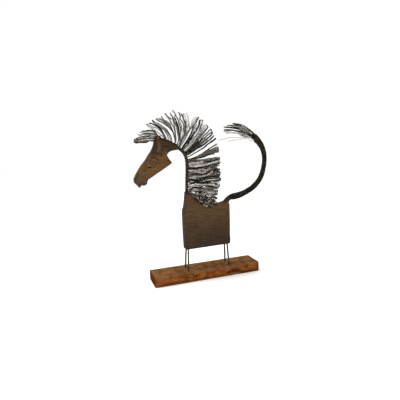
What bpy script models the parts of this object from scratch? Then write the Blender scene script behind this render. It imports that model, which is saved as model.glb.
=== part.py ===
"""A horse of stained board, carved head and bundled wire, standing on a reclaimed plank.

Metres, +Z up. The origin is the middle of the plank's underside, and the horse looks towards -X;
it stands BASE_SET_BACK in front of the plank's middle.
The horse is a free figure: its outlines are drawn in figure units, 1/313 of its height from the
belly to the top of the mane, with x from the middle of the plank and z from the belly.
"""

import math
import random

import bmesh
import bpy
from mathutils import Matrix, Vector

# Driving dimensions

FIGURE_HEIGHT = 0.313

BASE_LENGTH = 0.2615
BASE_WIDTH = 0.057
BASE_THICKNESS = 0.0235
BASE_EDGE = 0.0015
BASE_SET_BACK = 0.0039

LEG_WIRE = 0.0042
LEG_LENGTH = 0.0525
LEG_IN_BASE = 0.012

# Clearance between pieces that touch, so that no two solids share a face

FIT = 0.0003

UNIT = FIGURE_HEIGHT / 313
BELLY_Z = BASE_THICKNESS + LEG_LENGTH

# Worn hollows in the plank's front: (x and z of the middle, length, height)

WORN_HOLLOWS = [(-0.032, 0.0135, 0.022, 0.0055), (0.068, 0.0080, 0.036, 0.0065)]
HOLLOW_DEPTH = 0.0018

# The figure's thicknesses, wires and carving, as shares of its height

LEG_IN_BODY = 14 * UNIT
LEG_BOW = 0.8 * UNIT
FOOT_SPACING = 24 * UNIT
HIP_SPACING = 16.5 * UNIT

BODY_THICKNESS = 22 * UNIT
BODY_EDGE = 1.5 * UNIT
STUB_THICKNESS = 12.5 * UNIT
HORN_THICKNESS = 13 * UNIT

NECK_DIAMETER = 8 * UNIT
NECK_IN_BODY = 16 * UNIT
NECK_LAY = 60 * UNIT

HEAD_THICKNESS = 18 * UNIT
HEAD_EDGE = 2.2 * UNIT
OUTLINE_MERGE = 0.5 * UNIT
MUZZLE_THICKNESS = 14 * UNIT
NAPE_THICKNESS = 12.5 * UNIT
EYE_RADIUS = 6.6 * UNIT
EYE_PROUD = 1.6 * UNIT
LID_RADIUS = 10.5 * UNIT
LID_GROOVE = 1.6 * UNIT
BROW_RADIUS = 19.5 * UNIT
BROW_GROOVE = 1.3 * UNIT
TEAR_SLOT_DEPTH = 1.0 * UNIT
NOSTRIL_DEPTH = 1.3 * UNIT

MANE_WIRE = 1.6 * UNIT
MANE_HALF_DEPTH = 8 * UNIT
ROOT_HALF_DEPTH = 2.8 * UNIT
ROOT_HEIGHT = 3.4 * UNIT
FORELOCK_HALF_DEPTH = 5.5 * UNIT

TAIL_DIAMETER = 13 * UNIT
TAIL_PLUG_DIAMETER = 6.5 * UNIT
TAIL_IN_HORN = 9 * UNIT
TAIL_LAY = 110 * UNIT
TUFT_WIRE = 1.8 * UNIT
TUFT_HALF_DEPTH = 5.5 * UNIT

# Shares, and turns in degrees

GOUGE_OUT = 0.25
ARC_STEP = 24
EDGE_ANGLE = 50
LANE_FILL = 0.40
IN_KNOT = 0.35
ROPE_LOBES = 5
ROPE_FURROW = 0.88
LOOK_AHEAD = 0.01

# Facets: round and down a ball, and along a loose wire

HOLLOW_FACETS = (8, 4)
EYE_FACETS = (10, 6)
KNOT_FACETS = (4, 2)
CURVED_STEPS = 3
STRAIGHT_STEPS = 2
CURVED_SHARE = 0.4

# The body's outline: chest, stub, withers, back, horn and rump

CHEST = [(-51.5, -2.0), (-52.5, 40), (-52.7, 80), (-52.2, 90), (-49.7, 95), (-48.4, 102), (-47.1, 116),
         (-45.9, 132.5)]
WITHERS = [(-33.4, 132.5), (-31.0, 126), (-22.0, 114), (-13.0, 105), (0.0, 99.5), (22.0, 98.0)]
BACK = [(42, 99.6), (51.3, 101.8)]
HORN_TOP = [(55.2, 106.7), (59.6, 110.9)]
HORN_FOOT = [(61.4, 103.3), (60.6, 98.8)]
HORN_END = 10.6
RUMP = [(61.2, 60), (60.9, 21), (60.0, -0.9)]
STUB_START_Z = 92
HORN_START = (47, 96)

FRONT_LEG_X = -45.2
REAR_LEG_X = 53.0
LEG_LEAN = 2.5

# The neck: a bundle of wire from inside the stub, up and over into the head

NECK_UP = [(-41.6, 132.5), (-40.4, 160), (-38.9, 182), (-39.0, 202), (-41.2, 212.2), (-45.4, 220.8),
           (-51.3, 227.4), (-60.0, 233.2)]
NECK_END = (-72.5, 237.3)

# The head's outline, in runs that meet at corners

FACE = [(-106, 259.5), (-110.5, 252), (-113, 240), (-119, 227.5), (-126.5, 217.5), (-132, 209),
        (-143.5, 195.5), (-153.5, 181), (-159.9, 168.2), (-158.8, 160.5)]
LIPS = [(-158.8, 160.5), (-152, 153.4), (-148.6, 149.6), (-145.4, 154.6), (-139, 154.2),
        (-132.8, 157.4), (-131.8, 162.8), (-129.4, 166.8)]
JAW = [(-129.4, 166.8), (-76.3, 198.9)]
CHEEK = [(-75.8, 202), (-80.2, 207.4), (-85.7, 217.0)]
THROAT = [(-85.6, 218.2), (-81.5, 223.3), (-74.5, 226.3), (-66, 227.4), (-60, 228.2)]
CREST = [(-60, 239.6), (-68.5, 243.6), (-76, 248.2), (-82, 250.8), (-90.5, 253.4), (-97, 256)]
POLL = [(-99.3, 260.3), (-106, 259.5)]
MUZZLE_START = (-131, 197)
NAPE_START_X = -88

EYE = (-116.5, 204.5)
LID_ARC = (-40, 200)
BROW_ARC = (32, 118)

# Slots: (x and z of the middle, length)

TEAR_SLOT = (-126.0, 193.7, 6.5)
NOSTRIL = (-136.5, 186.3, 8.0)
SLOT_RISE = 1.0

# The mane: each lock is (distance of its root along the crest line, x of its tip, z of its tip)

MANE_LOCKS = [
    (1, -124, 284), (6, -113, 293), (12, -104, 295), (18.5, -93, 299), (24.5, -83, 306),
    (29, -72, 307), (34, -64, 313), (39, -53, 309.5), (44, -46, 305), (48, -33, 306),
    (51.5, -18, 298), (55, -8, 298), (58.5, 2, 291), (62, 14, 277), (65.5, 22, 270),
    (69, 26, 261), (72.5, 32, 250), (76.5, 38, 231), (81, 40, 220), (86.5, 41, 204.5),
    (94, 42, 193), (102, 42, 180.5), (110.5, 42, 168.5), (119.5, 42, 156), (128.5, 42.5, 146.5),
    (137.5, 40.5, 137), (148, 37, 127.5), (158, 33.5, 119.5), (168, 30.5, 112.5), (179, 26, 106.5)]
MANE_BOW_START = 4.0
MANE_BOW_END = -1.5

# Each forelock is (x and z of its root, the way out of the poll there in degrees, x and z of its tip)

FORELOCKS = [((-111.7, 249.4), 168, (-153, 250.5)), ((-107.4, 258.4), 140, (-144.5, 261)),
             ((-102.6, 260.2), 95, (-139, 267.5))]
FORELOCK_BOW = 4.0
FORELOCK_LANE = 1.7
FORELOCK_TIP_LANE = 3.6

# A lock's wires: (place across the lock, place in depth, share of the full reach)

LOCK_WIRES = [(-0.95, 0.35, 0.93), (-0.5, -0.95, 0.98), (0.0, 0.9, 0.95), (0.5, -0.25, 0.99),
              (0.95, 0.75, 0.92)]
REACH_SPREAD = 0.02

# The tail: (x, z, share of TAIL_DIAMETER) along its middle, from the horn to where it frays

TAIL = [(65, 110.2, 0.94), (72, 111.4, 1.18), (81, 112.6, 1.25), (93, 114.7, 1.18), (106, 119.1, 1.08),
        (119.7, 125.6, 1.05), (130.5, 132.6, 1.07), (140.4, 141.8, 1.02), (149.4, 154.4, 1.00),
        (155.9, 172, 0.94), (159, 190, 0.90), (159, 204, 0.94), (155.4, 219.5, 1.00),
        (148.6, 232.2, 1.13), (140, 242.8, 1.22), (132.5, 250.6, 1.18), (126, 256, 0.86)]
TUFT_LOW = ((133, 243), (110, 247))
TUFT_HIGH = ((136, 255), (113, 281.5))
TUFT_TIPS = [(63, 243), (38, 245), (90, 249.5), (59, 259.5), (56, 266), (74, 268), (54, 272.5),
             (60, 277), (64, 281.5), (82, 282)]


def fig(x, z, y=0.0):
    """A point of the figure: x and z in figure units from the belly, y in metres."""
    return Vector((x * UNIT, y, BELLY_Z + z * UNIT))


def clear_scene():
    for obj in list(bpy.data.objects):
        bpy.data.objects.remove(obj, do_unlink=True)


def new_collection(name):
    collection = bpy.data.collections.new(name)
    bpy.context.scene.collection.children.link(collection)
    return collection


def principled(name, colour, roughness, metallic):
    material = bpy.data.materials.new(name)
    material.use_nodes = True
    shader = material.node_tree.nodes["Principled BSDF"]
    shader.inputs["Base Color"].default_value = (*colour, 1.0)
    shader.inputs["Roughness"].default_value = roughness
    shader.inputs["Metallic"].default_value = metallic
    return material


def add_object(name, data, material=None):
    """A piece in its material, or without one a hidden tool that cuts or joins a piece."""
    obj = bpy.data.objects.new(name, data)
    if material is None:
        TOOLS.objects.link(obj)
        obj.hide_render = True
        obj.display_type = "WIRE"
    else:
        PIECES.objects.link(obj)
        obj.data.materials.append(material)
    return obj


def mesh_from(shell, name):
    mesh = bpy.data.meshes.new(name)
    shell.to_mesh(mesh)
    shell.free()
    return mesh


def smooth(points, steps=4):
    """A smooth run through hand-chosen points, as a Catmull-Rom curve."""
    points = [Vector(point) for point in points]
    ends = [2 * points[0] - points[1], *points, 2 * points[-1] - points[-2]]
    run = []
    for before, start, end, after in zip(ends, ends[1:], ends[2:], ends[3:]):
        for step in range(steps):
            t = step / steps
            run.append(0.5 * (2 * start + (end - before) * t
                              + (2 * before - 5 * start + 4 * end - after) * t ** 2
                              + (3 * start - before - 3 * end + after) * t ** 3))
    run.append(points[-1])
    return run


def add_spline(curve, points, radii=None):
    spline = curve.splines.new("POLY")
    spline.points.add(len(points) - 1)
    for index, point in enumerate(points):
        spline.points[index].co = (*point, 1.0)
        spline.points[index].radius = 1.0 if radii is None else radii[index]
    return spline


def mesh_of(curve):
    """The curve's mesh, with its caps welded on."""
    carrier = add_object("carrier", curve)
    evaluated = carrier.evaluated_get(bpy.context.evaluated_depsgraph_get())
    mesh = bpy.data.meshes.new_from_object(evaluated)
    mesh.materials.clear()
    bpy.data.objects.remove(carrier, do_unlink=True)
    shell = bmesh.new()
    shell.from_mesh(mesh)
    bmesh.ops.remove_doubles(shell, verts=shell.verts, dist=1e-6)
    bmesh.ops.recalc_face_normals(shell, faces=shell.faces)
    shell.to_mesh(mesh)
    shell.free()
    return mesh


def add_tubes(name, runs, material=None, resolution=2):
    """One object of round wires, each (its points, its diameter)."""
    curve = bpy.data.curves.new(name, "CURVE")
    curve.dimensions = "3D"
    curve.bevel_depth = 0.5
    curve.bevel_resolution = resolution
    curve.use_fill_caps = True
    for points, diameter in runs:
        add_spline(curve, points, [diameter] * len(points))
    return add_object(name, mesh_of(curve), material)


def board_shell(outline, thickness):
    """A flat board in the XZ plane, cut to an outline and centred on Y = 0."""
    curve = bpy.data.curves.new("board", "CURVE")
    curve.dimensions = "2D"
    curve.fill_mode = "BOTH"
    curve.extrude = thickness / 2
    points = [(point.x, point.z, 0.0) for point in outline]
    add_spline(curve, points).use_cyclic_u = True
    shell = bmesh.new()
    shell.from_mesh(mesh_of(curve))
    upright = Matrix.Rotation(math.pi / 2, 4, "X")
    bmesh.ops.transform(shell, matrix=upright, verts=shell.verts)
    return shell


def thin_towards(shell, start, direction, length, thickness, thin, keep=None):
    """Plane both faces of a board down, evenly, from a line across it to a distance past it."""
    direction = direction.normalized()
    bmesh.ops.bisect_plane(shell, geom=shell.verts[:] + shell.edges[:] + shell.faces[:],
                           plane_co=start, plane_no=direction, dist=1e-7)
    for vert in shell.verts:
        past = (vert.co - start).dot(direction)
        if past > 0 and (keep is None or keep(vert.co)):
            vert.co.y *= 1 - (1 - thin / thickness) * past / length


def boolean(piece, tool, operation, crossing=False):
    """Cut or join a piece with a tool; crossing says that the tool's own wires cross."""
    modifier = piece.modifiers.new(f"{operation.lower()} {tool.name}", "BOOLEAN")
    modifier.object = tool
    modifier.operation = operation
    modifier.solver = "EXACT"
    modifier.use_self = crossing


def round_edges(piece, width, segments):
    modifier = piece.modifiers.new("rounded edges", "BEVEL")
    modifier.width = width
    modifier.segments = segments
    modifier.limit_method = "ANGLE"
    modifier.angle_limit = math.radians(EDGE_ANGLE)


def legs():
    """Each leg: name, foot, hip and the way that the wire bows."""
    front, rear = FRONT_LEG_X * UNIT, REAR_LEG_X * UNIT
    lean = LEG_LEAN * UNIT
    for place, x, foot_x in (("front", front, front - lean), ("rear", rear, rear + lean)):
        for side, sign in (("near", -1), ("far", 1)):
            foot = Vector((foot_x, sign * FOOT_SPACING / 2, BASE_THICKNESS))
            hip = Vector((x, sign * HIP_SPACING / 2, BELLY_Z))
            yield f"leg_{place}_{side}", foot, hip, sign


def leg_points(foot, hip, sign, deeper):
    """Straight down into the plank, a slight bow between, and straight up into the body."""
    middle = (foot + hip) / 2 + Vector((0, sign * LEG_BOW, 0))
    run = smooth([foot, middle, hip], 2)
    bottom = Vector((foot.x, foot.y, foot.z - LEG_IN_BASE - deeper))
    top = Vector((hip.x, hip.y, hip.z + LEG_IN_BODY + deeper))
    return [bottom, *run, top]


def make_legs():
    for name, foot, hip, sign in legs():
        wire = leg_points(foot, hip, sign, 0.0)
        add_tubes(name, [(wire, LEG_WIRE)], STEEL, resolution=1).data.shade_smooth()
        bore = leg_points(foot, hip, sign, FIT)
        add_tubes(f"{name}_bore", [(bore, LEG_WIRE + 2 * FIT)])


def leg_bores():
    return [bpy.data.objects[f"{name}_bore"] for name, *_ in legs()]


def make_base():
    shell = bmesh.new()
    bmesh.ops.create_cube(shell, size=1.0)
    bmesh.ops.scale(shell, vec=(BASE_LENGTH, BASE_WIDTH, BASE_THICKNESS), verts=shell.verts)
    bmesh.ops.translate(shell, vec=(0, BASE_SET_BACK, BASE_THICKNESS / 2), verts=shell.verts)
    base = add_object("base", mesh_from(shell, "base"), PLANK_WOOD)
    round_edges(base, BASE_EDGE, 2)
    for index, (x, z, length, height) in enumerate(WORN_HOLLOWS, 1):
        centre = Vector((x, BASE_SET_BACK - BASE_WIDTH / 2, z))
        hollow = ball(centre, (length / 2, HOLLOW_DEPTH, height / 2), *HOLLOW_FACETS)
        boolean(base, add_object(f"hollow_{index}", mesh_from(hollow, "hollow")), "DIFFERENCE")
    for bore in leg_bores():
        boolean(base, bore, "DIFFERENCE")


def ball(centre, radii, around, down):
    """A faceted ball, stretched along X, Y and Z."""
    shell = bmesh.new()
    bmesh.ops.create_uvsphere(shell, u_segments=around, v_segments=down, radius=1.0)
    bmesh.ops.scale(shell, vec=radii, verts=shell.verts)
    bmesh.ops.translate(shell, vec=centre, verts=shell.verts)
    return shell


def neck_line():
    """The neck's middle line between the stub and the head."""
    return smooth([fig(x, z) for x, z in NECK_UP], 3)


def make_neck():
    run = neck_line()
    down = Vector((0, 0, -1))
    line = [run[0] + down * NECK_IN_BODY, *run, fig(*NECK_END)]
    add_rope("neck", line, [NECK_DIAMETER / 2] * len(line), NECK_LAY, WIRE_DARK)
    line[0] = line[0] + down * FIT
    line[-1] = line[-1] + (line[-1] - line[-2]).normalized() * FIT
    add_tubes("neck_bore", [(line, NECK_DIAMETER + 2 * FIT)], resolution=3)


def add_rope(name, points, radii, lay, material):
    """A twisted bundle of wire: a lobed section that turns once round in the length of its lay."""
    section = bpy.data.curves.new(f"{name}_section", "CURVE")
    section.dimensions = "2D"
    corners = []
    for corner in range(2 * ROPE_LOBES):
        reach = 1.0 if corner % 2 == 0 else ROPE_FURROW
        turn = math.pi * corner / ROPE_LOBES
        corners.append((reach * math.cos(turn), reach * math.sin(turn), 0.0))
    add_spline(section, corners).use_cyclic_u = True
    section_object = add_object(f"{name}_section", section)
    curve = bpy.data.curves.new(name, "CURVE")
    curve.dimensions = "3D"
    curve.bevel_mode = "OBJECT"
    curve.bevel_object = section_object
    curve.use_fill_caps = True
    spline = add_spline(curve, points, radii)
    travelled = 0.0
    for index, point in enumerate(points):
        if index:
            travelled += (point - points[index - 1]).length
        spline.points[index].tilt = 2 * math.pi * travelled / lay
    bundle = add_object(name, mesh_of(curve), material)
    bpy.data.objects.remove(section_object, do_unlink=True)
    return bundle


def horn_end():
    """The top and bottom of the horn's end, which faces the tail squarely."""
    start, ahead = Vector(TAIL[0][:2]), Vector(TAIL[1][:2])
    across = (ahead - start).normalized().orthogonal() * HORN_END / 2
    return [tuple(start + across), tuple(start - across)]


def make_body():
    corners = CHEST + WITHERS + BACK + HORN_TOP + horn_end() + HORN_FOOT + RUMP
    shell = board_shell([fig(x, z) for x, z in corners], BODY_THICKNESS)
    stub_length = (WITHERS[0][1] - STUB_START_Z) * UNIT
    thin_towards(shell, fig(0, STUB_START_Z), Vector((0, 0, 1)), stub_length,
                 BODY_THICKNESS, STUB_THICKNESS, lambda co: co.x < BACK[0][0] * UNIT)
    horn_start = fig(*HORN_START)
    horn_way = fig(*TAIL[0][:2]) - horn_start
    thin_towards(shell, horn_start, horn_way, horn_way.length, BODY_THICKNESS, HORN_THICKNESS,
                 lambda co: co.x > HORN_START[0] * UNIT)
    body = add_object("body", mesh_from(shell, "body"), BODY_WOOD)
    round_edges(body, BODY_EDGE, 2)
    for bore in leg_bores():
        boolean(body, bore, "DIFFERENCE")
    boolean(body, bpy.data.objects["neck_bore"], "DIFFERENCE")
    boolean(body, bpy.data.objects["tail_bore"], "DIFFERENCE")


def gouge_y(y, groove):
    """Where a gouge's middle runs: a little out of the face at y, so that it cuts a shallow groove."""
    return y + math.copysign(GOUGE_OUT * groove, y)


def arc_gouge(radius, groove, arc, y):
    """A gouge bent to an arc round the eye, on the face of the head at y."""
    start, end = arc
    points = []
    steps = round((end - start) / ARC_STEP)
    for step in range(steps + 1):
        turn = math.radians(start + (end - start) * step / steps)
        way = Vector((math.cos(turn), 0, math.sin(turn)))
        points.append(fig(*EYE, gouge_y(y, groove)) + way * radius)
    return points, 2 * groove


def slot_gouge(slot, depth, y):
    """A straight gouge on the face of the head at y."""
    x, z, length = slot
    out = gouge_y(y, depth)
    return [fig(x - length / 2, z, out), fig(x + length / 2, z + SLOT_RISE, out)], 2 * depth


def head_outline():
    outline = []
    for point in [*smooth(FACE, 2), *LIPS, *JAW, *CHEEK, *THROAT, *CREST, *POLL]:
        point = fig(*point)
        if not outline or (point - outline[-1]).length > OUTLINE_MERGE:
            outline.append(point)
    if (outline[0] - outline[-1]).length < OUTLINE_MERGE:
        outline.pop()
    return outline


def make_head():
    shell = board_shell(head_outline(), HEAD_THICKNESS)
    muzzle_start = fig(*MUZZLE_START)
    muzzle_way = fig(*LIPS[2]) - muzzle_start
    thin_towards(shell, muzzle_start, muzzle_way, muzzle_way.length, HEAD_THICKNESS,
                 MUZZLE_THICKNESS)
    nape_length = (CREST[0][0] - NAPE_START_X) * UNIT
    thin_towards(shell, fig(NAPE_START_X, 0), Vector((1, 0, 0)), nape_length, HEAD_THICKNESS,
                 NAPE_THICKNESS, lambda co: co.z > fig(*THROAT[0]).z)
    head = add_object("head", mesh_from(shell, "head"), HEAD_WOOD)
    round_edges(head, HEAD_EDGE, 2)
    gouges = []
    for side, sign in (("near", -1), ("far", 1)):
        sunk = sign * (HEAD_THICKNESS / 2 + EYE_PROUD - EYE_RADIUS / 2)
        dome = ball(fig(*EYE, sunk), (EYE_RADIUS, EYE_RADIUS / 2, EYE_RADIUS), *EYE_FACETS)
        boolean(head, add_object(f"eyeball_{side}", mesh_from(dome, "eyeball")), "UNION")
        y = sign * HEAD_THICKNESS / 2
        gouges += [arc_gouge(LID_RADIUS, LID_GROOVE, LID_ARC, y),
                   arc_gouge(BROW_RADIUS, BROW_GROOVE, BROW_ARC, y),
                   slot_gouge(TEAR_SLOT, TEAR_SLOT_DEPTH, y), slot_gouge(NOSTRIL, NOSTRIL_DEPTH, y)]
    boolean(head, bpy.data.objects["neck_bore"], "DIFFERENCE")
    boolean(head, add_tubes("gouges", gouges, resolution=1), "DIFFERENCE")


def crest_line():
    """The line that the mane stands on: the head's crest, the neck's outer side and the withers."""
    line = [fig(x, z) for x, z in reversed(CREST[:-1])]
    run = list(reversed(neck_line()))
    for index in range(1, len(run) - 1):
        way = (run[index + 1] - run[index - 1]).normalized()
        out = Vector((-way.z, 0, way.x))
        line.append(run[index] + out * NECK_DIAMETER / 2)
    line += [fig(x, z) for x, z in WITHERS]
    return line


def along(line, distance):
    """The point at a distance along a line, and the direction that faces out of the figure there."""
    left = distance
    for start, end in zip(line, line[1:]):
        step = (end - start).length
        if left <= step:
            way = (end - start) / step
            return start + way * left, Vector((-way.z, 0, way.x))
        left -= step
    return line[-1], Vector((-way.z, 0, way.x))


def bowed(root, tip, bow, t):
    """A point of the bowed line from root to tip; a positive bow bulges to the line's right."""
    chord = tip - root
    side = Vector((chord.z, 0, -chord.x)).normalized()
    return root + chord * t + side * bow * 4 * t * (1 - t)


def make_lock(name, root, out, root_lane, tip, tip_lane, bow, half_depth, steps, chance):
    """One lock of wire: a knot at its root, and bowed wires that fan out from it."""
    knot = ball((0, 0, 0), (root_lane, ROOT_HALF_DEPTH, ROOT_HEIGHT / 2), *KNOT_FACETS)
    tangent = Vector((out.z, 0, -out.x))
    turn = Matrix((tangent, Vector((0, 1, 0)), out)).transposed().to_4x4()
    centre = root + out * (FIT + ROOT_HEIGHT / 2)
    bmesh.ops.transform(knot, matrix=Matrix.Translation(centre) @ turn, verts=knot.verts)
    lock = add_object(name, mesh_from(knot, name), STEEL)
    runs = []
    for across, depth, reach in LOCK_WIRES:
        reach += chance.uniform(-REACH_SPREAD, REACH_SPREAD)
        points = []
        for step in range(steps + 1):
            t = reach * step / steps
            middle = bowed(centre, tip, bow, t)
            ahead = bowed(centre, tip, bow, t + LOOK_AHEAD) - middle
            side = Vector((ahead.z, 0, -ahead.x)).normalized()
            lane = IN_KNOT * root_lane * (1 - t) + tip_lane * t
            y = depth * (IN_KNOT * ROOT_HALF_DEPTH * (1 - t) + half_depth * t)
            points.append(middle + side * across * lane + Vector((0, y, 0)))
        runs.append((points, MANE_WIRE))
    wires = add_tubes(f"{name}_wires", runs, resolution=0)
    boolean(lock, wires, "UNION", crossing=True)


def make_mane():
    line = crest_line()
    chance = random.Random(7)
    count = len(MANE_LOCKS)
    for index, (station, x, z) in enumerate(MANE_LOCKS):
        near = [other for other in (index - 1, index + 1) if 0 <= other < count]
        tip = fig(x, z)
        root_gap = min(abs(MANE_LOCKS[other][0] - station) for other in near) * UNIT
        tip_gap = min((fig(*MANE_LOCKS[other][1:]) - tip).length for other in near)
        root, out = along(line, station * UNIT)
        share = index / (count - 1)
        bow = (MANE_BOW_START + (MANE_BOW_END - MANE_BOW_START) * share) * UNIT
        steps = CURVED_STEPS if share < CURVED_SHARE else STRAIGHT_STEPS
        make_lock(f"mane_{index + 1:02d}", root, out, LANE_FILL * root_gap, tip,
                  LANE_FILL * tip_gap, bow, MANE_HALF_DEPTH, steps, chance)


def make_forelocks():
    chance = random.Random(11)
    for index, (root, turn, tip) in enumerate(FORELOCKS):
        root = fig(*root)
        tip = fig(*tip)
        out = Vector((math.cos(math.radians(turn)), 0, math.sin(math.radians(turn))))
        make_lock(f"forelock_{index + 1:02d}", root, out, FORELOCK_LANE * UNIT, tip,
                  FORELOCK_TIP_LANE * UNIT, FORELOCK_BOW * UNIT * index / 2,
                  FORELOCK_HALF_DEPTH, CURVED_STEPS, chance)


def tuft_runs():
    """The loose wires of the tuft: each leaves the bundle's end and bends over to its own tip."""
    chance = random.Random(3)
    lowest = TUFT_TIPS[0][1]
    highest = TUFT_TIPS[-1][1]
    for x, z in TUFT_TIPS:
        share = (z - lowest) / (highest - lowest)
        start = fig(*TUFT_LOW[0]).lerp(fig(*TUFT_HIGH[0]), share)
        bend = fig(*TUFT_LOW[1]).lerp(fig(*TUFT_HIGH[1]), share)
        tip = fig(x, z, chance.uniform(-TUFT_HALF_DEPTH, TUFT_HALF_DEPTH))
        points = []
        for step in range(CURVED_STEPS + 1):
            t = step / CURVED_STEPS
            points.append(start * (1 - t) ** 2 + bend * 2 * t * (1 - t) + tip * t ** 2)
        yield points, TUFT_WIRE


def make_tail():
    line = smooth([(x, z, share) for x, z, share in TAIL], 2)
    points = [fig(x, z) for x, z, _ in line]
    radii = [share * TAIL_DIAMETER / 2 for _, _, share in line]
    way = (points[1] - points[0]).normalized()
    points[0] = points[0] + way * FIT
    tail = add_rope("tail", points, radii, TAIL_LAY, WIRE_DARK)
    tuft = add_tubes("tail_tuft", tuft_runs(), resolution=0)
    boolean(tail, tuft, "UNION", crossing=True)
    inner = points[0] - way * TAIL_IN_HORN
    outer = points[0] + way * TAIL_IN_HORN / 2
    boolean(tail, add_tubes("tail_plug", [([inner, outer], TAIL_PLUG_DIAMETER)]), "UNION")
    bore = [inner - way * FIT, outer]
    add_tubes("tail_bore", [(bore, TAIL_PLUG_DIAMETER + 2 * FIT)], resolution=3)


def centre_on_plank():
    """Moves everything, drawn with the horse at Y = 0, so that the plank's middle is at Y = 0."""
    for obj in bpy.data.objects:
        obj.location.y = -BASE_SET_BACK


clear_scene()
PIECES = new_collection("wire_horse_sculpture")
TOOLS = new_collection("cutters")

PLANK_WOOD = principled("reclaimed_plank", (0.22, 0.085, 0.028), 0.6, 0.0)
BODY_WOOD = principled("dark_stained_board", (0.060, 0.038, 0.020), 0.65, 0.0)
HEAD_WOOD = principled("carved_stained_wood", (0.095, 0.050, 0.022), 0.6, 0.0)
WIRE_DARK = principled("black_annealed_wire", (0.018, 0.016, 0.014), 0.5, 0.7)
STEEL = principled("grey_steel_wire", (0.16, 0.15, 0.14), 0.4, 0.9)

make_legs()
make_base()
make_neck()
make_tail()
make_body()
make_head()
make_mane()
make_forelocks()
centre_on_plank()
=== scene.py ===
"""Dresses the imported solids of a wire-and-board horse, and lights it on a pale studio floor.

Metres, +Z up, in the solids' own frame: the horse looks towards -X and its photographed side is -Y.
The horse is drawn in figure units: x from the middle of the plank and z from the belly. Its strands of
wire are read in enlarged views of the photograph, and the camera's lines of sight turn them into units.
"""

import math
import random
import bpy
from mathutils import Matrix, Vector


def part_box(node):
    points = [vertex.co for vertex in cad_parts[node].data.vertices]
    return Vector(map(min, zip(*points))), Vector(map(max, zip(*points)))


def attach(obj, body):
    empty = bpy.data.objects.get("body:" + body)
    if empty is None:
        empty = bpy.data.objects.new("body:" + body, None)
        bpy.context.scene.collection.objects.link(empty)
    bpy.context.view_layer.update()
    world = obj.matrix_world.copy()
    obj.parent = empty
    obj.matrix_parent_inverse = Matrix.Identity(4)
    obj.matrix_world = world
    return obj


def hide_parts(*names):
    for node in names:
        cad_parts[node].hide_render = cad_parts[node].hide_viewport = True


bl_info = {
    "name": "Wire Horse",
    "version": (1, 0, 0),
    "blender": (4, 5, 0),
    "location": "3D Viewport > Sidebar > Wire Horse",
    "description": "Dresses a horse of stained board and bundled wire on a reclaimed plank",
    "category": "Object",
}

import bmesh
import bpy
import numpy as np
from mathutils import Matrix, Vector, noise

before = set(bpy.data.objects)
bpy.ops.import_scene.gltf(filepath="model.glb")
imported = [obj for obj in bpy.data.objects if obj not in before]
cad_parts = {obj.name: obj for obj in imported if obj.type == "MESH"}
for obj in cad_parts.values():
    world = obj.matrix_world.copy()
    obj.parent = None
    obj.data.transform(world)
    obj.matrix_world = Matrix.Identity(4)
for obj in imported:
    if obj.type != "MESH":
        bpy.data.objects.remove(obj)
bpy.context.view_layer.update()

MM = 0.001

# The figure's unit, the height of its belly and its body's thickness, from the frame

HEAD_SPAN = 99.9
HEAD_LOW, HEAD_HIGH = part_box("head")
BODY_LOW, BODY_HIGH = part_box("body")
UNIT = (HEAD_HIGH.x - HEAD_LOW.x) / HEAD_SPAN
RUMP_DROP = 2.0
BELLY_Z = BODY_LOW.z + RUMP_DROP * UNIT
BODY_THICKNESS = BODY_HIGH.y - BODY_LOW.y

# Everything is drawn with the horse at Y = 0, and then moved to where the horse stands

STAND = Vector((0, (BODY_LOW.y + BODY_HIGH.y) / 2, 0))
PLANK_LOW, PLANK_HIGH = (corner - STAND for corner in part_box("base"))

# The body's outline: chest, stub, withers, back, horn and rump

CHEST = [(-51.5, -RUMP_DROP), (-52.5, 40), (-52.7, 80), (-52.2, 90), (-49.7, 95), (-48.4, 102), (-47.1, 116),
         (-45.9, 132.5)]
WITHERS = [(-33.4, 132.5), (-31.0, 126), (-22.0, 114), (-13.0, 105), (0.0, 99.5), (22.0, 98.0)]
BACK = [(42, 99.6), (51.3, 101.8)]
HORN_TOP = [(55.2, 106.7), (59.6, 110.9)]
HORN_END = [(64.1, 115.4), (65.9, 105.0)]
HORN_FOOT = [(61.4, 103.3), (60.6, 98.8)]
RUMP = [(61.2, 60), (60.9, 21), (61.9, 8), (60.0, -0.9)]

# Where the stub and the horn grow thinner than the board, and by what share

STUB_Z = (92, 132.5)
HORN_X = (47, 65)
HORN_Z = (94, 100)
STUB_THINNING = 0.43
HORN_THINNING = 0.41

# How fine the cells are that the boards are carved in, in millimetres

PLANK_CELL = 1.0
BODY_CELL = 0.9
HEAD_CELL = 0.7

# Knots in the body's faces: (place, width, depth in millimetres, dirt)

BODY_KNOTS = [
    ((4, 65), 2.4, 0.4, 0.45), ((31.8, 68), 2.0, 0.3, 0.4), ((26.1, 39.6), 2.2, 0.3, 0.4),
    ((57.8, 2.4), 2.6, 0.3, 0.6)]

# The head's outline, in runs that meet at corners

FACE = [(-106, 259.5), (-110.5, 252), (-113, 240), (-119, 227.5), (-126.5, 217.5), (-132, 209),
        (-143.5, 195.5), (-153.5, 181), (-159.9, 168.2), (-158.8, 160.5)]
LIPS = [(-158.8, 160.5), (-152, 153.4), (-148.6, 149.6), (-145.4, 154.6), (-139, 154.2),
        (-132.8, 157.4), (-131.8, 162.8), (-129.4, 166.8)]
JAW = [(-129.4, 166.8), (-76.3, 198.9)]
CHEEK = [(-75.8, 202), (-80.2, 207.4), (-85.7, 217.0)]
THROAT = [(-85.6, 218.2), (-81.5, 223.3), (-74.5, 226.3), (-66, 227.4), (-60, 228.2)]
CREST = [(-60, 239.6), (-68.5, 243.6), (-76, 248.2), (-82, 250.8), (-90.5, 253.4), (-97, 256)]
POLL = [(-99.3, 260.3), (-106, 259.5)]
EYE = (-116.5, 201.5)
EYE_RADIUS = 4.6

# Points of the head's outline that are closer than this count as one

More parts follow.
